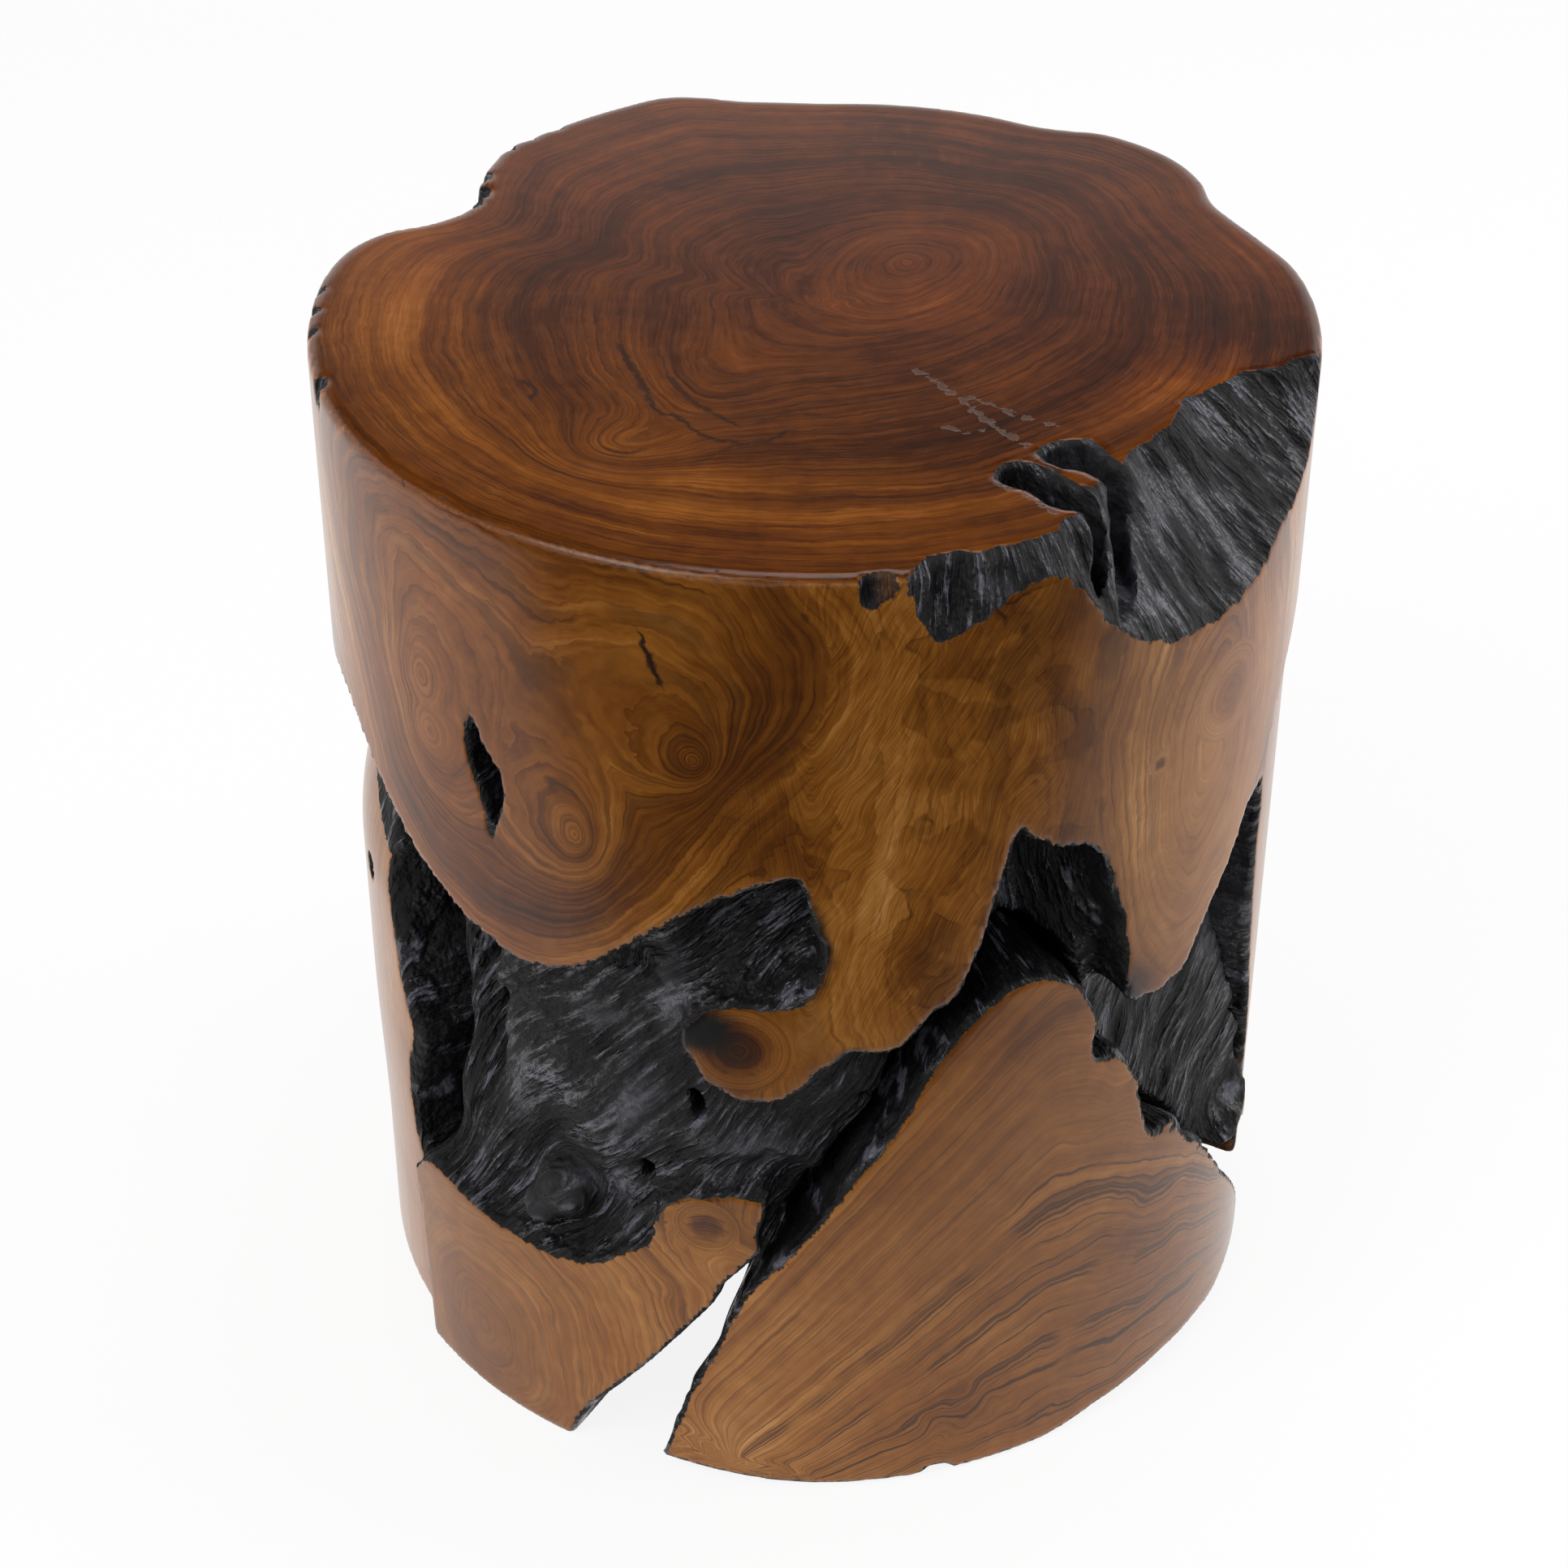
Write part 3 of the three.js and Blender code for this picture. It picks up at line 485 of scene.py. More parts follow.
def char_flow(angle, height):
    """Millimetres across and along the char's fibres."""
    across = along = weight = 0.0
    first = FLOWS[0]
    for flow in FLOWS:
        lean, lean0 = math.radians(flow[4]), math.radians(first[4])
        du, dv = apart(angle, height, flow)
        mu, mv = (flow[0] - first[0]) * ARC / 2, (flow[1] - first[1]) / 2
        joined = mu * (math.cos(lean0) + math.cos(lean)) - mv * (math.sin(lean0) + math.sin(lean))
        near = cloud(angle, height, flow) + 1e-6
        across = across + near * (du * math.cos(lean) - dv * math.sin(lean) + joined)
        along = along + near * (du * math.sin(lean) + dv * math.cos(lean))
        weight = weight + near
    across, along = across / weight, along / weight
    du, dv = apart(angle, height, PARTING)
    lean = math.radians(first[4])
    square = du * du + dv * dv
    parted = (du * math.cos(lean) - dv * math.sin(lean)) * PARTING_PUSH / (square + PARTING_CORE)
    return across - parted * np.exp(-square / PARTING_FADE ** 2), along


def fibre_ragged(amount, length, width, lean, seed):
    """An edge noise with longer teeth along the fibres, which lean from the upright."""
    def ragged(u, v):
        across = u - v * lean
        fine = noise(across / width, v / length, seed=seed, octaves=2)
        return amount * (fine + 0.5 * noise(across / (3 * width), v / length, seed=seed + 5))
    return ragged


def depth_map(base, lumps):
    """A hollow's depth below the skin."""
    u, v = SkinMap.grid()
    angle = u / ARC
    depth = np.full(u.shape, base, np.float32)
    for a, share, wide, tall, deep in lumps:
        depth += deep * cloud(angle, v, (a, share * SEAT_HEIGHT, wide, tall * SEAT_HEIGHT))
    across, along = char_flow(angle, v)
    depth += 2.3 * noise(across / 15, along / 42, seed=3, octaves=2)
    depth += 1.8 * noise(u / 38, v / 38, seed=4)
    return SkinMap(np.maximum(depth, 4))


def notch_map():
    """The burnt notch in the rim: how far its floor lies below the skin, negative below its foot."""
    u, v = SkinMap.grid()
    table = np.array(RIM_NOTCH)
    angle = u / ARC
    edge = np.interp(angle, table[:, 0], table[:, 1]) * DRUM_RADIUS
    foot = np.interp(angle, table[:, 0], table[:, 2]) * SEAT_HEIGHT
    foot = foot + 2.2 * noise(u / 3.2, v / 60, seed=8, octaves=2)
    rise = (v - foot) / (SEAT_HEIGHT - foot)
    deep = (DRUM_RADIUS - edge) * np.clip(rise, 0, 1.1) ** 0.85
    across, along = char_flow(angle, v)
    deep += step(rise, 0, 0.25) * 2.6 * noise(across / 8, along / 40, seed=9, octaves=2)
    outside = np.maximum(table[0, 0] - angle, angle - table[-1, 0]) * ARC
    return SkinMap(np.where(outside > 0, -outside, np.where(rise < 0, v - foot, deep)))


def relief(p, normal, char):
    """Char's fibrous surface: the moved places, the millimetres across the fibres, and how worn it is, which
    the material also paints as a pale sheen.
    """
    angle, rho, height = cylindrical(p)
    across, along = char_flow(angle, height)
    across = across + 4 * noise(across / 40, along / 50, seed=61)
    worn_and_sheen = np.max([cloud(angle, height, place) for place in WORN_AND_SHEEN], 0)
    worn_and_sheen = np.clip(0.8 * worn_and_sheen + 0.3 * noise(across / 14, along / 30, rho / 40, seed=64), 0, 1)
    grooves = noise(across / GROOVE_WIDTH, along / FIBRE_LENGTH, rho / 40, seed=62, octaves=2)
    lumps = noise(across / LUMP_WIDTH, along / FIBRE_LENGTH, rho / 30, seed=63, octaves=2)
    high = GROOVE_HEIGHT * grooves * (1 - GROOVE_WEAR * worn_and_sheen) + LUMP_HEIGHT * lumps * (1 - LUMP_WEAR * worn_and_sheen)
    return p + normal * (step(char, 0.5, 5) * high)[:, None], across, worn_and_sheen


# Meshes

def made_mesh(cells, field):
    """A mesh where a field is zero, its points moved onto the zero by the field's own slope."""
    size = cells.size
    band = np.clip(field, -3 * size, 3 * size).astype(np.float32)
    grid = openvdb.FloatGrid(background=3 * size)
    grid.copyFromArray(band)
    points, _, quads = grid.convertToPolygons(isovalue=0.0, adaptivity=0.0)
    points = np.array(points, np.float64)

    def value(p):
        base = np.clip(np.floor(p).astype(int), 0, np.array(band.shape) - 2)
        f = p - base
        total = 0.0
        for corner in itertools.product((0, 1), repeat=3):
            weight = np.prod(np.where(corner, f, 1 - f), 1)
            total = total + weight * band[tuple((base + corner).T)]
        return total

    for _ in range(2):
        slope = np.stack([value(points + e) - value(points - e) for e in 0.5 * np.eye(3)], 1)
        steepness = np.maximum((slope * slope).sum(1), 0.3 * size * size)
        move = -(value(points) / steepness)[:, None] * slope
        points += np.clip(move, -0.6, 0.6)
    places = cells.low + points * size
    quads = np.array(quads, np.int32)
    a, b, c = (places[quads[:, k]] for k in (0, 1, 2))
    if np.einsum("ij,ij->", np.cross(b - a, c - a), a) < 0:
        quads = quads[:, ::-1]
    return places, quads


def normals_of(places, quads):
    a, b, c, d = (places[quads[:, k]] for k in range(4))
    face = np.cross(c - a, d - b)
    normal = np.zeros_like(places)
    for k in range(4):
        for axis in range(3):
            normal[:, axis] += np.bincount(quads[:, k], face[:, axis], len(places))
    return normal / np.maximum(np.linalg.norm(normal, axis=1), 1e-9)[:, None]


def added(name, data):
    """A new object in the scene."""
    made = bpy.data.objects.new(name, data)
    bpy.context.scene.collection.objects.link(made)
    return made


def made_object(name, places, quads, attributes, material):
    """A mesh object. Each attribute is an array with a number for each place, or one number for all."""
    mesh = bpy.data.meshes.new(name)
    mesh.vertices.add(len(places))
    mesh.vertices.foreach_set("co", (places * MM).astype(np.float32).ravel())
    mesh.loops.add(quads.size)
    mesh.loops.foreach_set("vertex_index", np.ascontiguousarray(quads).ravel())
    mesh.polygons.add(len(quads))
    mesh.polygons.foreach_set("loop_start", np.arange(0, quads.size, 4, dtype=np.int32))
    mesh.update()
    mesh.validate()
    mesh.shade_smooth()
    for key, values in attributes.items():
        layer = mesh.attributes.new(key, "FLOAT", "POINT")
        layer.data.foreach_set("value", np.broadcast_to(values, len(places)).astype(np.float32))
    mesh.materials.append(material)
    return added(name, mesh)


def drum_value(p, skin):
    """How far a point lies outside the turned envelope."""
    angle, rho, height = cylindrical(p)
    body = smooth_max(rho - plan_radius(angle, skin), height - SEAT_HEIGHT, RIM_ROUND)
    return smooth_max(body, -height, FLOOR_ROUND)


# How deep below the turned skin the char starts
CHAR_START = 0.25


def finish_piece(name, cells, field, node, figure, skin, material, burnt=None):
    """Meshes a field, adds the char's relief and the figure, and puts it in its node's place."""
    places, quads = made_mesh(cells, field)
    normal = normals_of(places, quads)
    char = -drum_value(places, skin) - CHAR_START
    attributes = figure(places, normal)
    if burnt is not None:
        char = burnt(places, char)
    places, fibre, worn_and_sheen = relief(places, normal, char)
    attributes = attributes | {"char": char, "fibre": fibre, "worn_and_sheen": worn_and_sheen}
    made = made_object(name, places, quads, attributes, material)
    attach(made, "root")
    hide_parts(node)
    return made


# Figure: where the growth rings run and how dark the wood is

LOBE_HEART = [
    (-1, 430), (0, 400), (-2, 385), (-8, 360), (-12, 340), (-16, 320), (-20, 300), (-25, 282),
    (-32, 270), (-40, 268), (-48, 283), (-56, 305), (-60, 330), (-62, 355), (-66, 370),
    (-70, 400), (-72, 450), (-60, 480), (-30, 485), (-6, 470),
]
# Angle, height, and how far the rings stretch round the skin and upright
LOBE_PITHS = [(-48.5, 366, 1, 1.3), (-47.5, 342, 1, 1.2), (-27, 325, 0.95, 1.25), (-13, 370, 1, 1.1)]
# Angle, height, radius, and how dark
KNOTS = [
    (-8.5, 237, 12, 0.42), (-12.5, 143, 8, 0.34), (53, 350, 12, 0.16), (41, 338, 3, 0.4),
]
BACK_PITHS = [(150, 330, 14), (-160, 250, 20), (100, 400, 26), (-100, 380, 24), (170, 90, 18)]
SEAT_PITH = (40.0, 40.0)

# Darker (negative) and paler patches: angle, height, half width, half height and change of tone
SIDE_PATCHES = [
    (-55, 365, 13, 70, 0.14), (-78, 370, 14, 110, 0.28), (-9, 372, 9, 34, -0.16), (-3, 410, 5, 34, -0.16),
    (-33, 283, 9, 12, -0.06), (48, 315, 15, 60, 0.28), (72, 350, 13, 120, 0.3), (-26, 428, 18, 20, 0.12),
    (-6, 338, 8, 14, -0.06), (39, 233, 4, 12, -0.4), (-27, 325, 4, 18, -0.05), (26, 392, 8, 18, 0.1),
    (9, 330, 11, 110, 0.17), (12.8, 363, 3, 9, -0.16), (11, 287, 2.6, 13, -0.1), (5, 330, 9, 60, 0.05),
]
# The same on the seat, in millimetres from its middle
SEAT_PATCHES = [
    (95, 90, 70, 60, -0.03), (-60, -125, 90, 50, 0.16), (140, -62, 26, 22, 0.16),
    (-162, 0, 24, 70, 0.26), (-104, -10, 22, 70, -0.06), (14, -100, 50, 34, -0.13),
    (148, -22, 40, 34, -0.12), (-20, -30, 30, 22, 0.08), (-95, 120, 36, 30, 0.06),
    (40, 145, 60, 26, -0.05), (-140, -75, 22, 22, 0.06), (20, -172, 60, 18, 0.1),
]


def blend(share, a, b):
    """Two figures mixed by a share of the second."""
    return {key: a[key] + (b[key] - a[key]) * share for key in a}


def side_figure(angle, height):
    """The trunk's side: ring field, tone (0 dark to 1 pale), gold, grain across the fibres, contrast."""
    u, v = angle * ARC, height
    warp = 3.5 * noise(u / 30, v / 30, seed=21, octaves=2)
    heart = np.array(LOBE_HEART, float) * (ARC, 1)
    inside = inside_distance(np.stack([u + warp, v + 0.6 * warp], -1), rounded(heart))
    deep, out = np.maximum(inside, 0), np.maximum(-inside, 0)
    r = np.full(u.shape, 1e3)
    for place in LOBE_PITHS:
        du, dv = apart(angle, height, place)
        r = smooth_min(r, np.hypot(du / place[2], dv / place[3]), 2.5)
    lobe = 62 * r / (r + 0.85 * deep + 0.5)
    blobs = 15 * noise(u / 30 - v / 90, v / 42, seed=22, octaves=2)
    left = np.where(inside > 0, lobe, 62 + out + step(out, 14, 46) * blobs)
    du, dv = apart(angle, height, (50, 335))
    right = 46 + np.hypot(du, dv / 2.2) + 4 * noise(u / 26, v / 60, seed=23, octaves=2)
    back = 90 + 0.25 * np.abs(u) + 16 * noise(u / 55, v / 140, seed=25, octaves=2)
    for place in BACK_PITHS:
        du, dv = apart(angle, height, place)
        back = smooth_min(back, place[2] + np.hypot(du, dv / 1.9), 9)
    ring = smooth_min(smooth_min(left, right, 8), back, 9)
    for place in KNOTS:
        du, dv = apart(angle, height, place)
        d = np.hypot(du, dv)
        ring = ring + (1.15 * d + 200 - ring) * step(d, 1.8 * place[2], 1.1 * place[2])

    in_lobe = step(inside, -2, 2)
    tone = 0.49 + 0.06 * noise(u / 40, v / 40, seed=26) - 0.06 * in_lobe
    tone -= in_lobe * 0.1 * step(inside, 20, 4) * step(height, 345, 285)
    tone += 0.1 * np.exp(-((out - 7) / 8) ** 2) * step(out, 0, 2) * step(angle, 6, -4)
    for *place, amount in SIDE_PATCHES:
        tone += amount * cloud(angle, height, place)
    for *place, radius, amount in KNOTS:
        tone -= amount * step(np.hypot(*apart(angle, height, place)), radius, 0.6 * radius)
    middle = step(angle, -16, 0) * step(angle, 46, 26) * (1 - in_lobe)
    lean = math.radians(65)
    grain = u * math.sin(lean) - v * math.cos(lean) + 1.4 * warp
    gold = 0.3 + 0.7 * step(angle, -48, -12) * step(angle, 70, 30)
    return {
        "ring": ring, "tone": tone, "gold": gold, "grain": ring + (grain - ring) * middle,
        "figure": 1 - 0.35 * middle - 0.55 * step(angle, 36, 44) * step(height, 400, 330),
        "lined": 0.25 * in_lobe, "blotch": middle * step(height, 240, 265),
    }


def front_foot_figure(angle, height):
    """The front left foot: a squarish darker heart with a few lines outside it."""
    u, v = angle * ARC, height
    du, dv = apart(angle, height, (-45, 37))
    square = (np.abs(du) ** 2.6 + np.abs(dv / 1.12) ** 2.6) ** (1 / 2.6)
    ring = square + 2.5 * noise(u / 18, v / 18, seed=24, octaves=2)
    tone = 0.6 - 0.12 * step(square, 36, 28) + 0.06 * step(du, 30, 70)
    return {
        "ring": ring, "tone": tone, "gold": 0.8, "grain": ring,
        "figure": 0.3 + 0.4 * step(square, 30, 38) * step(du, 0, 40), "lined": 0.2, "blotch": 0.0,
    }


def seat_figure(x, y):
    """The seat, seen from above."""
    angle, rho = polar(x, y)
    edge = np.maximum(plan_radius(angle) - rho, 0)
    warp_x = 11 * noise(x / 80, y / 80, seed=31, octaves=2)
    warp_y = 11 * noise(x / 80, y / 80, seed=32, octaves=2)
    dx, dy = x - SEAT_PITH[0] + warp_x, y - SEAT_PITH[1] + warp_y
    r = np.hypot(dx, dy)
    stretch = 1 - 0.3 * np.clip((-dx - dy) / (1.414 * r + 1), 0, 1) ** 2
    r = r * stretch
    ring = 185 * r / (r + 1.1 * edge + 1)
    swirl = np.hypot(x + 72, (y + 106) * 1.3)
    ring = ring - 30 * np.exp(-((swirl / 26) ** 2)) - 16 * bell(x + 40, y + 62, 26, 34)
    tone = 0.25 + 0.05 * noise(x / 45, y / 45, seed=33, octaves=2)
    for a, b, wide, tall, amount in SEAT_PATCHES:
        tone += amount * bell(x - a, y - b, wide, tall)
    tone += 0.09 * step(edge, 30, 14) * step(y, -20, 60)
    tone += 0.06 * step(r, 50, 44)
    ray = np.abs(noise((x + 0.04 * y) / 2.6, y / 300, seed=34))
    rays = step(ray, 0.12, 0.02) * bell(x - 46, y - 138, 20, 30)
    gold = 0.5 * step(y + 0.5 * x, 60, -140)
    return {
        "ring": ring, "tone": tone + 0.12 * rays, "gold": gold, "grain": ring,
        "figure": 0.55 + 0.15 * step(y, 0, -60), "lined": 0.4 * step(y, 20, -80) * step(x, 90, 20),
        "blotch": 0.0,
    }


FOOT_CREST = 29.0
FOOT_PATCHES = [
    (25, 236, 9, 18, -0.16), (0, 80, 12, 60, 0.1), (-8, 20, 12, 30, 0.16), (48, 90, 12, 50, -0.1),
    (30, 30, 22, 22, -0.06), (66, 35, 9, 30, -0.02), (17, 34, 5, 14, -0.06),
]


def foot_figure(angle, height):
    """The right foot: lines that peak under its apex and fan out towards its lower left corner."""
    u, v = angle * ARC, height
    warp = noise(u / 26, v / 26, seed=41, octaves=2)
    a, z = angle + 0.8 * warp, height + 3.0 * warp
    ring = z + 2.0
    for _ in range(5):
        reach = np.clip(FOOT_CREST + 5 + 0.12 * (ring - 75), 25, 80)
        left = np.clip(FOOT_CREST - a, 0, 1e3) / reach
        right = np.clip(a - FOOT_CREST, 0, 1e3) / 62
        drop = np.clip(left, 0, 0.97) ** 1.25 + np.clip(right, 0, 0.93) ** 1.5
        ring = 0.5 * ring + 0.5 * np.clip(z / np.maximum(1 - drop, 0.03), -40, 420)
    ring = ring + 12 * noise(u / 13, v / 13, seed=42, octaves=2) * cloud(angle, height, (17.5, 34, 6.4, 22))
    tone = 0.56 + 0.03 * noise(u / 35, v / 35, seed=43)
    for *place, amount in FOOT_PATCHES:
        tone += amount * cloud(angle, height, place)
    return {
        "ring": ring, "tone": tone, "gold": 0.8, "grain": ring,
        "figure": 0.45 + 0.25 * step(angle, 12, -4), "lined": 0.2 + 0.8 * step(ring, 156, 150),
        "blotch": 0.0,
    }


def upright_figure(angle, height, middle, tone):
    """A root whose grain runs upright."""
    u, v = angle * ARC, height
    ring = 40 + np.abs(u - middle * ARC) + 8 * noise(u / 40, v / 160, seed=51, octaves=2)
    return {
        "ring": ring, "tone": tone + 0.05 * noise(u / 30, v / 60, seed=52), "gold": 0.5,
        "grain": ring, "figure": 0.4, "lined": 0.1, "blotch": 0.0,
    }


# Dark veins drawn on the seat, in millimetres, and on the side, by angle and height: points, strength
SEAT_VEINS = [
    ([(-75, -30), (-70, -45), (-65, -60), (-60, -80), (-50, -85), (-45, -95), (-35, -103),
      (-20, -105), (-10, -95)], 1.0),
    ([(-55, -55), (-50, -65), (-45, -75), (-30, -90)], 0.9),
    ([(-20, -88), (-8, -82), (2, -84)], 0.7),
    ([(-110, -58), (-104, -63), (-106, -70)], 1.0),
    ([(-76, -108), (-70, -112), (-64, -109)], 0.8),
    ([(-30, -104), (-36, -112), (-44, -118)], 0.5),
]
SIDE_VEINS = [
    ([(-18.5, 420), (-17.5, 411), (-16.5, 402)], 1.3),
    ([(63, 287), (65, 297), (67, 305), (69, 313), (71, 320)], 0.8),
]
# Worm-eaten streaks beside the burnt notch, on the seat
PIT_LINES = [
    ([(38, -48), (50, -64), (60, -82), (70, -98), (78, -106)], 1.0),
    ([(58, -70), (68, -78), (76, -84), (90, -92)], 1.0),
    ([(48, -92), (56, -98), (62, -94)], 0.9),
    ([(66, -134), (74, -140), (84, -153)], 0.9),
]


VEIN_REACH = 9.0
VEIN_FADE = 3.0


def softened(line, turns=2):
    """An open line with its corners cut."""
    for _ in range(turns):
        cut = np.stack([0.75 * line[:-1] + 0.25 * line[1:], 0.25 * line[:-1] + 0.75 * line[1:]], 1)
        line = np.vstack([line[:1], cut.reshape(-1, 2), line[-1:]])
    return line


def vein_field(points, veins):
    """Signed distance to the nearest vein, and how much ink it holds there."""
    near = np.full(len(points), VEIN_REACH)
    signed = np.full(len(points), VEIN_REACH)
    ink = np.zeros(len(points))
    for line, strength in veins:
        line = softened(np.array(line, float))
        for (ax, ay), (bx, by) in zip(line[:-1], line[1:]):
            ex, ey = bx - ax, by - ay
            length = math.hypot(ex, ey)
            px, py = points[:, 0] - ax, points[:, 1] - ay
            t = np.clip((px * ex + py * ey) / length ** 2, 0, 1)
            d = np.hypot(px - ex * t, py - ey * t)
            side = np.sign(ex * py - ey * px)
            closer = d < near
            signed = np.where(closer, side * d, signed)
            ink = np.where(closer, strength, ink)
            near = np.minimum(near, d)
    return signed, ink * np.exp(-((near / VEIN_FADE) ** 2))


# Where soot spreads from a hollow's edge over the skin: angle, height, half width, half height, reach
SOOT = [
    (1, 285, 4, 40, 6), (-9, 262, 8, 8, 3), (4, 238, 10, 8, 4), (-13, 244, 6, 15, 45), (14, 262, 6, 26, 2.5),
    (39, 226, 3, 9, 9), (-22, 152, 4, 12, 4), (-4, 300, 5, 18, 4), (36, 290, 4, 40, 1.5),
]
# Char that reaches over the skin: angle, height, half width, half height
CHARRED = [(-126, 440, 5.5, 22)]


def soot_on(angle, height):
    edge = np.maximum(-SkinMap.of_outline(unrolled(FRONT_HOLLOW, 1)).at(angle, height), 0)
    clouds = [cloud(angle, height, place) * np.exp(-((edge / place[4]) ** 1.5)) for place in SOOT]
    return np.max(clouds + [cloud(angle, height, place) for place in CHARRED], 0)


NO_MARKS = {"vein": VEIN_REACH, "ink": 0.0, "soot": 0.0, "raw": 0.0, "pit": 0.0}


# The trunk

# Chips in the rim: angle, height, half width, half height, depth
CHIPS = [
    (5.2, 444, 3, 6, 4), (6.9, 447, 2.6, 5, 3.5), (-73, 446, 4, 6, 4), (-85, 450, 4, 3, 3),
    (-90, 449, 3, 4, 3), (-95, 450, 4, 3, 3), (-123, 450, 5, 4, 4), (-126, 449, 6, 5, 5),
    (-130, 450, 5, 4, 3), (-138, 449, 4, 4, 3), (-142, 450, 3, 3, 3), (-146, 449, 4, 4, 3),
    (27, 447, 5, 4, 6), (31, 441, 4, 5, 5),
]


def chip(cells, place):
    """How deep inside a small ball-shaped chip whose middle lies on the skin."""
    angle, height, wide, tall, deep = place
    out, across = cells.turned(angle)
    out = out - float(plan_radius(angle))
    size = cells.column((out / deep) ** 2 + (across / wide) ** 2) + ((cells.z - height) / tall) ** 2
    return (1 - np.sqrt(size)) * min(wide, tall, deep)


def dowels(cells, kind, plane):
    """The bores of the dowels across one glued face, where the frame's nodes have them."""
    length = DOWEL_LENGTHS[kind] / 2 + DOWEL_END_SPACE
    a = math.radians(plane[0])
    found = -1e3
    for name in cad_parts:
        if "dowel" in name and kind in name.split("_")[:2]:
            low, high = (np.array(corner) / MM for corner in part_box(name))
            middle = (low + high) / 2
            offset = middle[0] * math.cos(a) + middle[1] * math.sin(a)
            ends = plane[1] - length, plane[1] + length
            bore = cells.bar(DOWEL + 2 * BORE_GAP, plane[0], *ends, offset, middle[2])
            found = np.maximum(found, bore)
    return found


def screw_bore(cells):
    """The left root's screw bore and the counterbore that takes the head and the plug."""
    offset = LEFT_SKIN * math.sin(math.radians(SCREW_ANGLE - LEFT_PLANE[0]))
    seat = math.sqrt(LEFT_SKIN ** 2 - offset ** 2) - PLUG_DEPTH - SCREW_HEAD - GLUED_GAP
    inner = seat - SCREW_LENGTH - DOWEL_END_SPACE
    shank = cells.bar(SCREW_SHANK + 2 * BORE_GAP, LEFT_PLANE[0], inner, seat + 1, offset, SCREW_HEIGHT)
    head = cells.bar(PLUG + 2 * BORE_GAP, LEFT_PLANE[0], seat, DRUM_RADIUS + 50, offset, SCREW_HEIGHT)
    return np.maximum(shank, head)


def knob(cells):
    """The burnt knob in the front hollow, as a ball."""
    angle, height, middle, radius = KNOB
    a = math.radians(angle)
    flat = (cells.x - middle * math.sin(a)) ** 2 + (cells.y + middle * math.cos(a)) ** 2
    return np.sqrt(cells.column(flat) + (cells.z - height) ** 2) - radius


def sawn_branch(cells):
    """The short branch on the knob, cut off flat."""
    dx, dy = (cells.column(c - at) for c, at in zip((cells.x, cells.y), STUB_FACE))
    dz = cells.z - STUB_FACE[2]
    along = dx * STUB_AXIS[0] + dy * STUB_AXIS[1] + dz * STUB_AXIS[2]
    away = np.sqrt(np.maximum(dx ** 2 + dy ** 2 + dz ** 2 - along ** 2, 0))
    return np.maximum(np.maximum(away - STUB_RADIUS, along), -STUB_LENGTH - along)


def trunk_field(cells):
    body = cells.drum()
    depth = plan_radius(cells.angle) - cells.rho
    deep = cells.column(depth)
    lift = CLIMB * np.clip(depth, 0, CLIMB_END)
    for seed, (outline, lumps, lean) in enumerate(HOLLOWS, 70):
        inset = cells.inset(outline, 1, fibre_ragged(0.9, 14, 3, lean, seed), lift)
        floor = cells.read(depth_map(HOLLOW_BASE, lumps), lift)
        body = smooth_max(body, smooth_min(inset, floor - deep, CORNER["hollow"]), EDGE["hollow"])
    body = smooth_min(body, smooth_min(knob(cells), sawn_branch(cells), 1.5), 2.5)
    for angle, height in HOLES:
        hole = cells.bar(2 * HOLE_RADIUS, angle, HOLE_END, math.inf, 0, height)
        body = smooth_max(body, hole, EDGE["hole"])
    body = smooth_max(body, cells.read(notch_map()) - deep, EDGE["notch"])
    for slot in (UPPER_SLOT, LOWER_SLOT):
        plan = rounded(np.array(slot) * DRUM_RADIUS, 1)
        inside = inside_distance(np.stack([cells.x, cells.y], -1), plan)
        inside = inside + 1.2 * noise(cells.x / 4, cells.y / 4, seed=73, octaves=2)
        low = cells.z - (SEAT_HEIGHT - RIM_SLOT_DEPTH)
        body = smooth_max(body, np.minimum(cells.column(inside), low), EDGE["slot"])
    for place in CHIPS:
        body = smooth_max(body, chip(cells, place), EDGE["chip"])
    crack = smooth_min(cells.inset(CRACK), CRACK_DEPTH - deep, CORNER["crack"])
    body = smooth_max(body, crack, EDGE["crack"])
    foot = smooth_min(cells.inset(RIGHT_FOOT) + FOOT_SLOT, cells.beyond(FOOT_PLANE), CORNER["foot"])
    body = smooth_max(body, foot, EDGE["foot"])
    for outline, plane in ((LEFT_ROOT, LEFT_PLANE), (REAR_ROOT, REAR_PLANE)):
        room = np.minimum(cells.inset(outline) + SEAM, cells.beyond(plane))
        body = smooth_max(body, room, EDGE["root"])
    vault = np.sqrt((cells.column(cells.rho) / VAULT_RADIUS) ** 2 + (cells.z / VAULT_HEIGHT) ** 2)
    body = smooth_max(body, (1 - vault) * VAULT_HEIGHT, EDGE["vault"])
    for way in (FRONT_WEDGE, BACK_LEFT_ARCH, BACK_RIGHT_ARCH):
        room = smooth_min(cells.inset(way, 1), cells.column(cells.rho - ARCH_INNER), CORNER["arch"])
        body = smooth_max(body, room, EDGE["arch"])
    for kind, plane in (("foot", FOOT_PLANE), ("left", LEFT_PLANE), ("rear", REAR_PLANE)):
        body = np.maximum(body, dowels(cells, kind, plane))
    return np.maximum(body, screw_bore(cells))


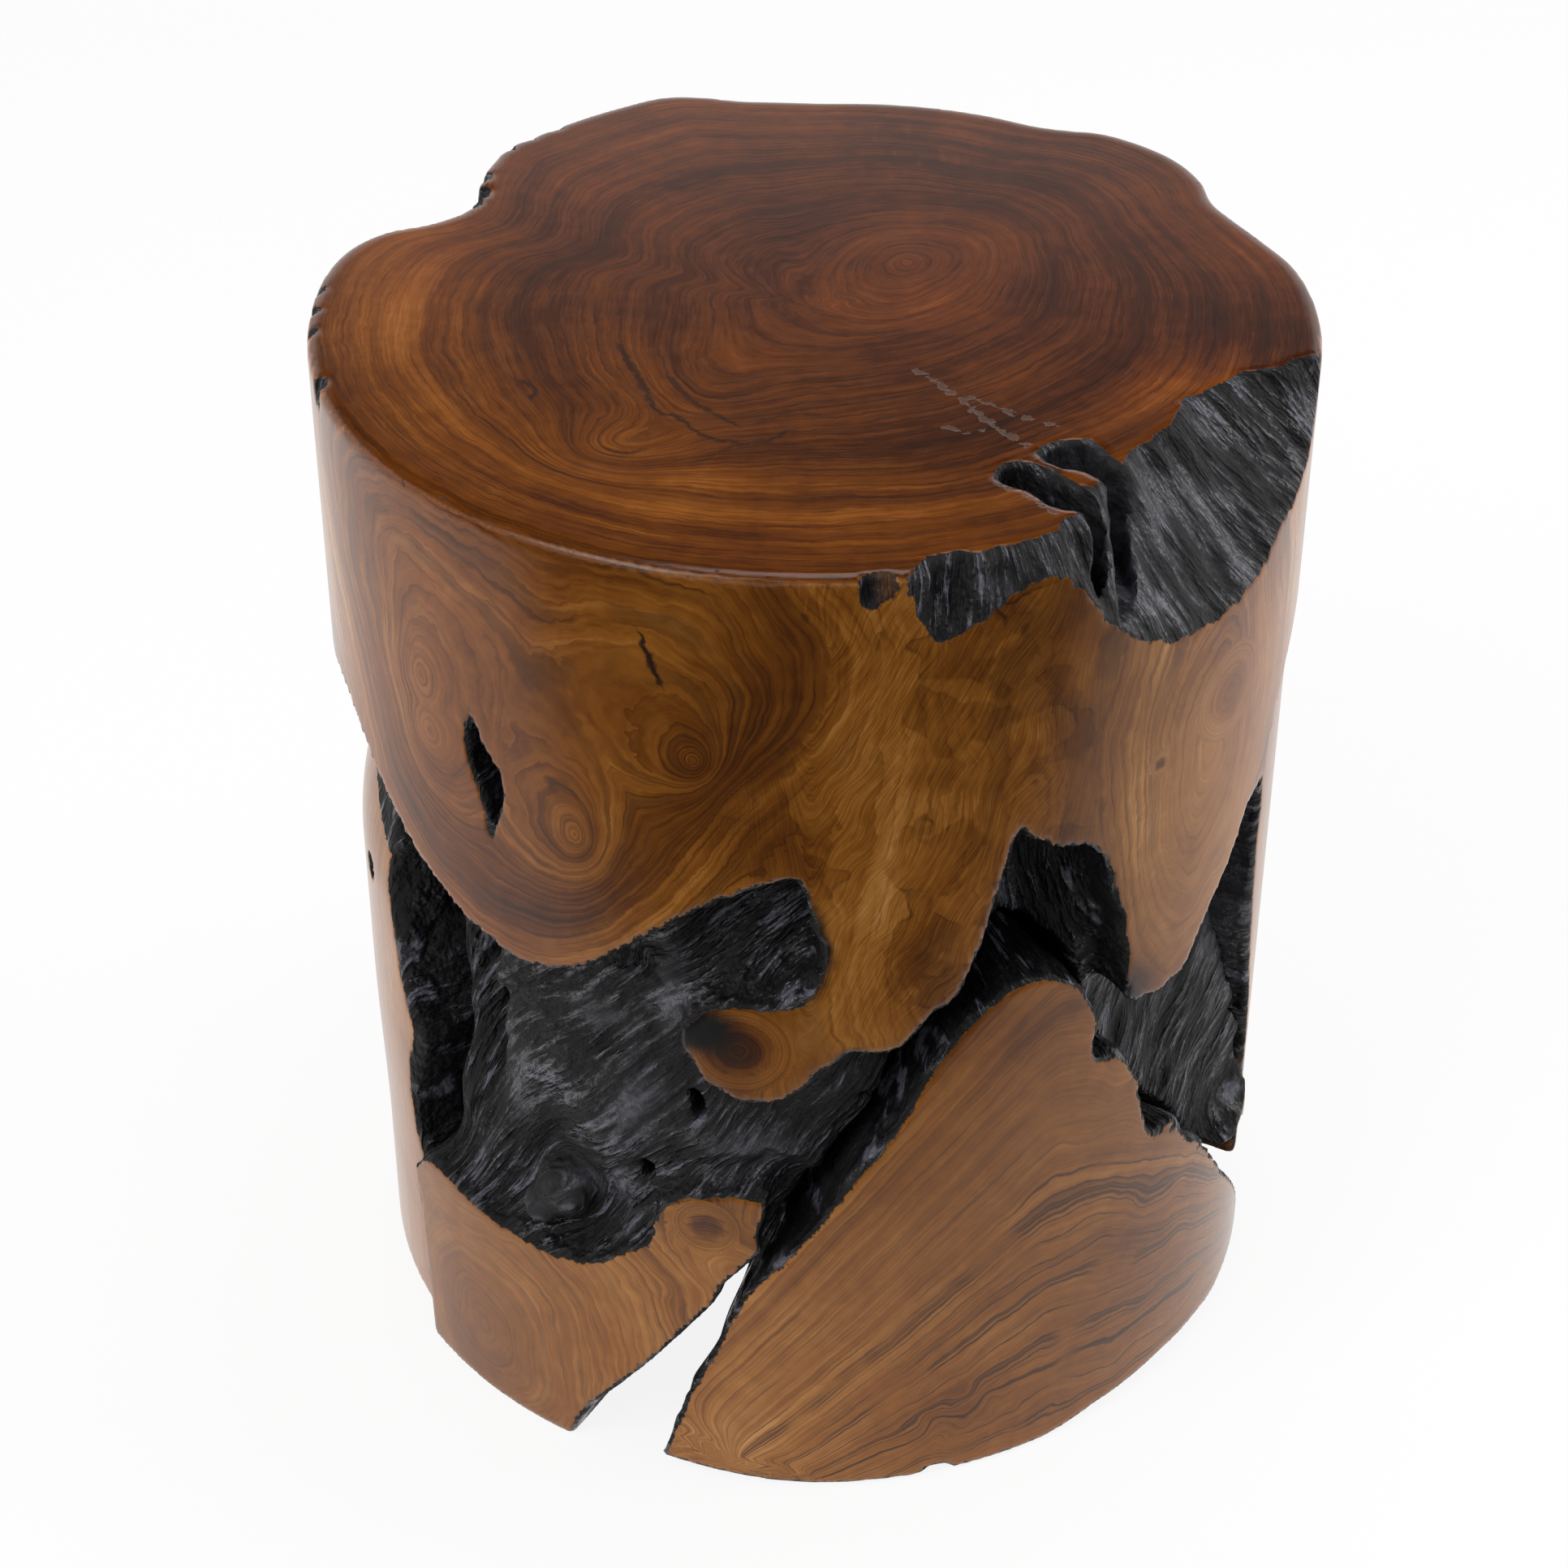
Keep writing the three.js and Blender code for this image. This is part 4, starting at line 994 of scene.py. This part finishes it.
def trunk_figure(p, normal):
    angle, _, height = cylindrical(p)
    top = (normal[:, 2] > 0.7) & (height > SEAT_HEIGHT - 8)
    side = side_figure(angle, height)
    low = step(height, 150, 118) * step(np.abs(angle + 40), 40, 30)
    side = blend(low, side, front_foot_figure(angle, height))
    seat = seat_figure(p[:, 0], p[:, 1])
    figure = {key: np.where(top, seat[key], side[key]) for key in side}
    scaled = [([(a * ARC, z) for a, z in line], strength) for line, strength in SIDE_VEINS]
    seat_vein = vein_field(p[:, :2], SEAT_VEINS)
    side_vein = vein_field(np.stack([angle * ARC, height], -1), scaled)
    vein, ink = (np.where(top, a, b) for a, b in zip(seat_vein, side_vein))
    _, pit = vein_field(p[:, :2], PIT_LINES)
    marks = {
        "vein": vein, "ink": ink, "soot": soot_on(angle, height) * ~top, "pit": pit * top,
        "raw": cloud(angle, height, (7, 447, 0.9, 8)),
    }
    return figure | marks


def make_trunk(material):
    cells = Cells(*TRUNK_BOX, TRUNK_CELL)
    field = trunk_field(cells)
    return finish_piece("trunk_wood", cells, field, "stump_trunk", trunk_figure, DRUM_RADIUS, material)


# The root blocks

def block_field(cells, outline, skin, plane, ragged, hollowed=0.0, k=3.0):
    """A root block: its skin, its natural sides, rounded over k where they meet, and its glued face."""
    inward = np.clip((DRUM_RADIUS - cells.rho) / (DRUM_RADIUS - ARCH_INNER), 0, 1)
    middle = sum(angle for angle, _ in outline) / len(outline)
    angle = middle + (cells.angle - middle) / (1 - BLOCK_TAPER * inward)
    inset = cells.inset(outline, ragged=ragged, angle=angle)
    body = smooth_max(cells.drum(skin, hollowed), -inset, k)
    return np.maximum(body, GLUED_GAP - cells.beyond(plane))


def block_cells(node, margin=4.0):
    low, high = (np.array(corner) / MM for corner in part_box(node))
    return Cells(low - margin, high + margin, BLOCK_CELL)


def root_figure(middle, tone):
    def figure(p, normal):
        angle, _, height = cylindrical(p)
        return upright_figure(angle, height, middle, tone) | NO_MARKS
    return figure


def foot_skin(p, normal):
    angle, _, height = cylindrical(p)
    return foot_figure(angle, height) | NO_MARKS


def make_foot(material):
    node = "right_foot_root"
    cells = block_cells(node)
    ragged_edge = fibre_ragged(2.2, 5, 9, -1.2, 81)

    def ragged(u, v):
        return ragged_edge(u, v) * step(u / ARC, 30, 36) * step(v, 60, 100)
    field = block_field(cells, RIGHT_FOOT, DRUM_RADIUS, FOOT_PLANE, ragged)
    field = np.maximum(field, dowels(cells, "foot", FOOT_PLANE))
    return finish_piece("foot_wood", cells, field, node, foot_skin, DRUM_RADIUS, material)


def left_root_drawn_in(z):
    """How far the left root's skin stands back: it is slimmer near the floor and leans in at the top."""
    return 1.6 * step(z, 150, 60) + 0.0045 * np.maximum(z - 216, 0) ** 2


def make_left_root(material):
    """The left root, with its charred shoulder."""
    node = "left_side_root"
    cells = block_cells(node)
    ragged, hollowed = fibre_ragged(0.8, 16, 3, 0, 82), left_root_drawn_in(cells.z)
    field = block_field(cells, LEFT_ROOT, LEFT_SKIN, LEFT_PLANE, ragged, hollowed, 5.0)
    field = np.maximum(field, dowels(cells, "left", LEFT_PLANE))
    field = np.maximum(field, screw_bore(cells))

    def burnt(p, char):
        angle, _, height = cylindrical(p)
        shoulder = 4 * step(height + 1.2 * (angle + 72), 246, 254)
        return np.maximum(char - left_root_drawn_in(height), shoulder - 2)
    figure = root_figure(-80, 0.72)
    return finish_piece("left_root_wood", cells, field, node, figure, LEFT_SKIN, material, burnt)


def make_rear_root(material):
    """The rear right root, with its raw sawn end."""
    node = "rear_right_root"
    cells = block_cells(node)
    field = block_field(cells, REAR_ROOT, REAR_SKIN, REAR_PLANE, fibre_ragged(0.6, 16, 3, 0, 83))
    field = np.maximum(field, dowels(cells, "rear", REAR_PLANE))

    def figure(p, normal):
        below = step(p[:, 2] + 2 * noise(p[:, 1] / 5, seed=84), 108, 100) * (p[:, 1] < -8)
        return root_figure(88, 0.68)(p, normal) | {"raw": below * (-drum_value(p, REAR_SKIN) > 1.5)}
    return finish_piece("rear_root_wood", cells, field, node, figure, REAR_SKIN, material)


# Materials

def colour(red, green, blue):
    """A colour written as it looks on screen, 0 to 255, as the shader's linear numbers."""
    def linear(c):
        c /= 255
        return c / 12.92 if c <= 0.04045 else ((c + 0.055) / 1.055) ** 2.4
    return (linear(red), linear(green), linear(blue), 1.0)


class Nodes:
    """A node tree, with a short call for each kind of node."""

    def __init__(self, tree):
        self.tree = tree

    def node(self, kind, **settings):
        made = self.tree.nodes.new(kind)
        for key, value in settings.items():
            setattr(made, key, value)
        return made

    def put(self, value, socket):
        """Joins an output to an input, or writes a number or a colour there."""
        if isinstance(value, bpy.types.NodeSocket):
            self.tree.links.new(value, socket)
        else:
            socket.default_value = colour(*value) if isinstance(value, tuple) else value

    def made(self, kind, *values, output=0, **settings):
        """A new node's output. The values go to its first inputs."""
        made = self.node(kind, **settings)
        for value, socket in zip(values, made.inputs):
            self.put(value, socket)
        return made.outputs[output]

    def math(self, operation, *terms):
        return self.made("ShaderNodeMath", *terms, operation=operation)

    def product(self, first, *others):
        for other in others:
            first = self.math("MULTIPLY", first, other)
        return first

    def sum(self, *terms):
        """The sum of (socket, weight) pairs and plain numbers."""
        total = 0.0
        for term in terms:
            total = self.math("ADD", total, self.product(*term) if isinstance(term, tuple) else term)
        return total

    def rise(self, value, low, high, start=0.0, end=1.0):
        """A smooth change from start to end as a value goes from low to high."""
        return self.made("ShaderNodeMapRange", value, low, high, start, end, interpolation_type="SMOOTHSTEP")

    def line(self, value, outer, inner):
        """1 where a value is within inner of zero, and 0 beyond outer."""
        return self.rise(self.math("ABSOLUTE", value), outer, inner)

    def mix(self, share, a, b, kind="RGBA"):
        """A colour, or with FLOAT a number, between two others."""
        made = self.node("ShaderNodeMix", data_type=kind)
        first, output = {"RGBA": (6, 2), "FLOAT": (2, 0)}[kind]
        for value, place in ((share, 0), (a, first), (b, first + 1)):
            self.put(value, made.inputs[place])
        return made.outputs[output]

    def ramp(self, value, stops):
        made = self.node("ShaderNodeValToRGB")
        self.put(value, made.inputs[0])
        ramp = made.color_ramp
        while len(ramp.elements) < len(stops):
            ramp.elements.new(0.5)
        for element, (place, given) in zip(ramp.elements, stops):
            element.position = place
            element.color = colour(*given)
        return made.outputs[0]

    def seen_directly(self):
        """Two switches: for rays from the camera, and for those, reflections and rays through glass."""
        camera_ray, *others = (self.made("ShaderNodeLightPath", output=f"Is {kind} Ray")
                               for kind in ("Camera", "Glossy", "Transmission"))
        seen = camera_ray
        for other in others:
            seen = self.math("MAXIMUM", seen, other)
        return camera_ray, seen


class Shader(Nodes):
    """A material of one surface. Lengths are millimetres."""

    def __init__(self, name):
        self.material = bpy.data.materials.new(name)
        self.material.use_nodes = True
        super().__init__(self.material.node_tree)
        self.tree.nodes.clear()
        self.surface = self.node("ShaderNodeBsdfPrincipled")
        self.put(self.surface.outputs[0], self.node("ShaderNodeOutputMaterial").inputs["Surface"])
        self.place = self.scaled(self.made("ShaderNodeTexCoord", output="Object"), 1 / MM)

    def look(self, **values):
        """Fills in inputs of the surface."""
        for key, value in values.items():
            self.put(value, self.surface.inputs[key.replace("_", " ")])

    def scaled(self, vector, scale):
        made = self.node("ShaderNodeVectorMath", operation="SCALE")
        self.put(vector, made.inputs[0])
        self.put(scale, made.inputs["Scale"])
        return made.outputs[0]

    def attributes(self, *names):
        return [self.made("ShaderNodeAttribute", output="Fac", attribute_name=name) for name in names]

    def texture(self, dimensions, detail, roughness, **places):
        """Noise about zero."""
        made = self.node("ShaderNodeTexNoise", noise_dimensions=dimensions)
        for key, value in (places | {"Scale": 1.0, "Detail": detail, "Roughness": roughness}).items():
            self.put(value, made.inputs[key])
        return self.math("SUBTRACT", made.outputs[0], 0.5)

    def noise(self, cell, across=None, width=1.0, detail=2.0):
        """Noise with cells of a size in space, and if asked of another width across a field."""
        place = self.scaled(self.place, 1 / cell)
        if across is None:
            return self.texture("3D", detail, 0.55, Vector=place)
        return self.texture("4D", detail, 0.55, Vector=place, W=self.math("DIVIDE", across, width))

    def along(self, field, width, detail=2.0):
        """Noise of one field alone."""
        return self.texture("1D", detail, 0.5, W=self.math("DIVIDE", field, width))

    def bump(self, height, distance):
        """Relief of a height, for each unit a distance in millimetres."""
        made = self.node("ShaderNodeBump")
        for key, value in {"Strength": 1.0, "Distance": distance * MM, "Height": height}.items():
            self.put(value, made.inputs[key])
        self.look(Normal=made.outputs[0])


# Browns from dark to pale, in two families
RED_WOOD = [(38, 15, 4), (66, 27, 6), (101, 48, 11), (138, 74, 26), (174, 108, 54), (207, 150, 96)]
GOLD_WOOD = [(43, 19, 2), (76, 37, 4), (108, 60, 10), (142, 87, 25), (175, 118, 53), (208, 156, 96)]
GROWTH_LINE = (44, 21, 8)
VEIN_INK = (40, 23, 13)
PORE = (50, 28, 15)
EATEN = (82, 54, 34)
SCORCHED = (40, 24, 15)
SOOT_BLACK = (17, 14, 13)
RAW_WOOD = [(0.3, (34, 20, 12)), (0.7, (112, 74, 46))]
# The char's colour by the height of its crests: black in the grooves, pale grey-blue on the crests, where
# the pale is painted highlight as well as burnished char
CHAR_WITH_GLINTS = [(0.2, (4, 4, 5)), (0.55, (12, 12, 14)), (0.8, (36, 36, 40)), (1.0, (94, 94, 105))]
# Worn char from dark to pale grey: a painted sheen, paler than the char's own colour
WORN_CHAR_SHEEN = (34, 34, 37), (84, 83, 90)
CHAR_ROUGHNESS = 0.68, 0.17
LACQUER_ROUGHNESS = 0.18
LACQUER_IOR = 1.4


def wood_colour(s):
    """Growth rings, in browns that go by tone, with the lines that are drawn along them."""
    field, grain, tone, gold = s.attributes("ring", "grain", "tone", "gold")
    figure, lined, blotch = s.attributes("figure", "lined", "blotch")
    field = s.sum(field, (s.noise(24, detail=3), 6.0), (s.noise(5), 1.6))
    growth = s.sum((field, 0.27), (s.along(field, 31.0, 1.0), 3.0), (s.noise(70), 2.0))
    growth = s.math("POWER", s.math("FRACT", growth), 4.0)
    growth = s.product(growth, s.rise(s.noise(40), -0.2, 0.15, 0.25))
    rings = s.sum((s.along(field, 19.0, 3.0), 0.75), (s.noise(90, field, 3.4), 0.5),
                  (s.noise(60, field, 1.1), 0.3), (growth, -0.19))
    streaks = s.noise(16, grain, 0.7)
    islands = s.noise(34, detail=2.5)
    value = s.sum(tone, s.product(rings, figure), (streaks, 0.2), (s.noise(9, detail=3), 0.2),
                  (streaks, blotch, 0.4), (s.rise(islands, 0.03, 0.07), blotch, -0.1),
                  (s.noise(45, detail=3), 0.3), (figure, 0.03), 0.02)
    red, golden = (s.ramp(value, [(i / 5, brown) for i, brown in enumerate(family)])
                   for family in (RED_WOOD, GOLD_WOOD))
    thin = s.line(s.along(field, 9.0, 1.0), 0.035, 0.0)
    thin = s.product(thin, figure, s.rise(s.noise(45), -0.1, 0.1))
    drawn = s.line(s.along(s.sum(field, (s.noise(30), 8.0)), 15.0, 1.5), 0.03, 0.006)
    drawn = s.product(drawn, lined, s.rise(s.noise(45), -0.16, 0.0))
    outline = s.line(s.sum(islands, -0.05), 0.016, 0.003)
    outline = s.product(outline, blotch, s.rise(s.noise(20), -0.1, 0.15))
    dark = s.math("MINIMUM", s.sum((thin, 0.5), (drawn, 0.75), (outline, 0.5)), 0.85)
    return s.mix(dark, s.mix(gold, red, golden), GROWTH_LINE), streaks


def stump_material(name):
    """Lacquered wood with growth rings, veins and soot, and char wherever the skin is gone, painted with
    highlights on its crests and a sheen where it is worn.
    """
    s = Shader(name)
    char, fibre, vein, ink = s.attributes("char", "fibre", "vein", "ink")
    grain, soot, raw, pit, worn_and_sheen = s.attributes("grain", "soot", "raw", "pit", "worn_and_sheen")
    wood, streaks = wood_colour(s)
    drawn = s.product(s.line(s.sum(vein, (s.noise(5, detail=3), 7.0)), 2.0, 0.5), ink)
    wood = s.mix(s.product(drawn, 0.8), wood, VEIN_INK)
    pores = s.rise(s.noise(5.5, grain, 0.33, 1.0), 0.2, 0.28)
    wood = s.mix(s.product(pores, 0.16), wood, PORE)
    eaten = s.rise(s.sum(pit, (s.noise(5, detail=3), 2.0)), 0.8, 1.0)
    wood = s.mix(s.product(eaten, 0.8), wood, EATEN)

    rough_share = s.sum((worn_and_sheen, -0.85), 1.0)
    threads = s.product(s.noise(16, fibre, 2.3, 2.0), rough_share)
    # How high the char's fibres stand; the char's colour ramp paints the crests pale as painted highlights
    crest = s.sum((threads, 3.2), (s.noise(40, fibre, 7.0), 1.8), (s.noise(30, detail=3), 1.2),
                  (s.noise(2.5, fibre, 0.8), 0.4), (worn_and_sheen, 0.2), 0.42)
    # Worn char gets the paler colours as a painted sheen
    worn_sheen = s.mix(s.rise(crest, 0.2, 0.9), *WORN_CHAR_SHEEN)
    black = s.mix(s.product(worn_and_sheen, 0.7), s.ramp(crest, CHAR_WITH_GLINTS), worn_sheen)
    black = s.mix(raw, black, s.ramp(s.sum(s.noise(20, fibre, 2.0), 0.5), RAW_WOOD))
    wood = s.mix(s.rise(s.sum(soot, (s.noise(7, detail=3), 0.5)), 0.25, 0.85), wood, SOOT_BLACK)
    edge = s.sum(char, (s.noise(3, detail=3), 0.8))
    burnt = s.rise(edge, -0.05, 0.15)
    scorch = s.rise(edge, -0.1, 0.03)
    wood = s.mix(s.product(scorch, 0.7), wood, SCORCHED)

    satin = s.sum((streaks, 0.12), (scorch, 0.3), (eaten, 0.3), LACQUER_ROUGHNESS)
    sheen = s.sum(s.rise(crest, 0.36, 0.72, *CHAR_ROUGHNESS), (raw, 0.2))
    s.look(Base_Color=s.mix(burnt, wood, black), Roughness=s.mix(burnt, satin, sheen), IOR=LACQUER_IOR)
    fibres = s.sum((threads, 4.5), (s.noise(2.4, detail=4), 0.6), (s.noise(7, fibre, 5.0), rough_share, 4.0))
    s.bump(s.sum(s.product(burnt, fibres), (streaks, 0.02), (eaten, -0.5)), 1.0)
    return s.material


def plain_wood(name, dark, pale, rough):
    """Straight-grained hardwood, for the dowels and the plug."""
    s = Shader(name)
    grain = s.noise(3, detail=4)
    s.look(Base_Color=s.ramp(s.sum(grain, 0.5), [(0.25, dark), (0.75, pale)]),
           Roughness=s.sum((grain, 0.1), rough))
    s.bump(grain, 0.1)
    return s.material


def steel():
    s = Shader("screw_steel")
    brushed = s.noise(1.5, detail=3)
    s.look(Metallic=1.0, Roughness=s.sum((brushed, 0.15), 0.35),
           Base_Color=s.ramp(s.sum(brushed, 0.5), [(0.3, (150, 147, 140)), (0.7, (182, 180, 174))]))
    return s.material


# Pieces

stump = stump_material("stump_wood")
make_trunk(stump)
make_foot(stump)
make_left_root(stump)
make_rear_root(stump)

inner_looks = {
    "dowel": plain_wood("dowel_hardwood", (160, 118, 74), (196, 156, 108), 0.6),
    "plug": plain_wood("plug_hardwood", (140, 88, 46), (176, 118, 68), 0.3),
    "screw": steel(),
}
for name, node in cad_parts.items():
    for kind, material in inner_looks.items():
        if kind in name:
            node.data.materials.clear()
            node.data.materials.append(material)


# Floor, light and camera

FLOOR_HALF = 6.0
# The floor's colour, and the share of it that glows
FLOOR_WHITE = 0.98
FLOOR_GLOW = 0.88
# Where the white paper ends in front of the stool, in millimetres, and how dark the floor is beyond
PAPER_END = -520.0
PAPER_WHITE = -300.0
FLOOR_DARK = 0.08
# How steeply a reflection rises where the white wall ends, and where the dark ceiling starts
WALL_TOP = 0.36
CEILING = 0.49
CEILING_LIGHT = 0.02
AMBIENT = 0.45
WHITE = (255, 255, 255)
CAMERA_PLACE = (-0.01176, -1.21018, 1.09420)
CAMERA_TILT = 54.198


def stage():
    """White paper on the floor, which ends on a dark floor in front of the camera's view."""
    mesh = bpy.data.meshes.new("floor")
    corners = [(x * FLOOR_HALF, y * FLOOR_HALF, 0) for x, y in ((-1, -1), (1, -1), (1, 1), (-1, 1))]
    mesh.from_pydata(corners, [], [(0, 1, 2, 3)])
    s = Shader("floor_white")
    camera_ray, seen = s.seen_directly()
    y = s.made("ShaderNodeSeparateXYZ", s.place, output="Y")
    paper = s.math("MAXIMUM", s.rise(y, PAPER_END, PAPER_WHITE, FLOOR_DARK, 1.0), camera_ray)
    glow = s.product(seen, FLOOR_GLOW)
    share = s.product(paper, s.math("SUBTRACT", FLOOR_WHITE, glow))
    s.look(Base_Color=s.made("ShaderNodeCombineColor", share, share, share), Roughness=0.9,
           Emission_Color=WHITE, Emission_Strength=s.product(paper, glow))
    mesh.materials.append(s.material)
    added("floor", mesh)


def studio():
    """White walls that the sides and low angles reflect, and a dark ceiling."""
    world = bpy.data.worlds.new("studio")
    bpy.context.scene.world = world
    world.use_nodes = True
    s = Nodes(world.node_tree)
    background = s.tree.nodes["Background"]
    camera_ray, seen = s.seen_directly()
    way = s.made("ShaderNodeTexCoord", output="Generated")
    z = s.made("ShaderNodeSeparateXYZ", way, output="Z")
    shown = s.math("MAXIMUM", s.rise(z, WALL_TOP, CEILING, 1.0, CEILING_LIGHT), camera_ray)
    s.put(s.mix(seen, AMBIENT, shown, "FLOAT"), background.inputs["Strength"])
    s.put(WHITE, background.inputs["Color"])


def lamp(name, place, target, size, power):
    light = bpy.data.lights.new(name, "AREA")
    light.shape = "SQUARE"
    light.size = size
    light.energy = power
    made = added(name, light)
    made.location = place
    made.rotation_euler = (Vector(target) - Vector(place)).to_track_quat("-Z", "Y").to_euler()


def camera():
    data = bpy.data.cameras.new("camera")
    data.lens = 80
    data.sensor_width = 36
    made = added("camera", data)
    made.location = CAMERA_PLACE
    made.rotation_euler = (math.radians(CAMERA_TILT), 0, 0)
    bpy.context.scene.camera = made


bpy.context.scene.view_settings.view_transform = "Standard"
stage()
studio()
lamp("key", (-1.3, -1.3, 2.0), (0, 0, 0.25), 1.3, 28)
lamp("top", (0.2, 0.5, 2.8), (0, 0, 0.4), 1.4, 18)
lamp("side", (1.9, 0.25, 1.15), (0, 0, 0.25), 1.3, 16)
camera()
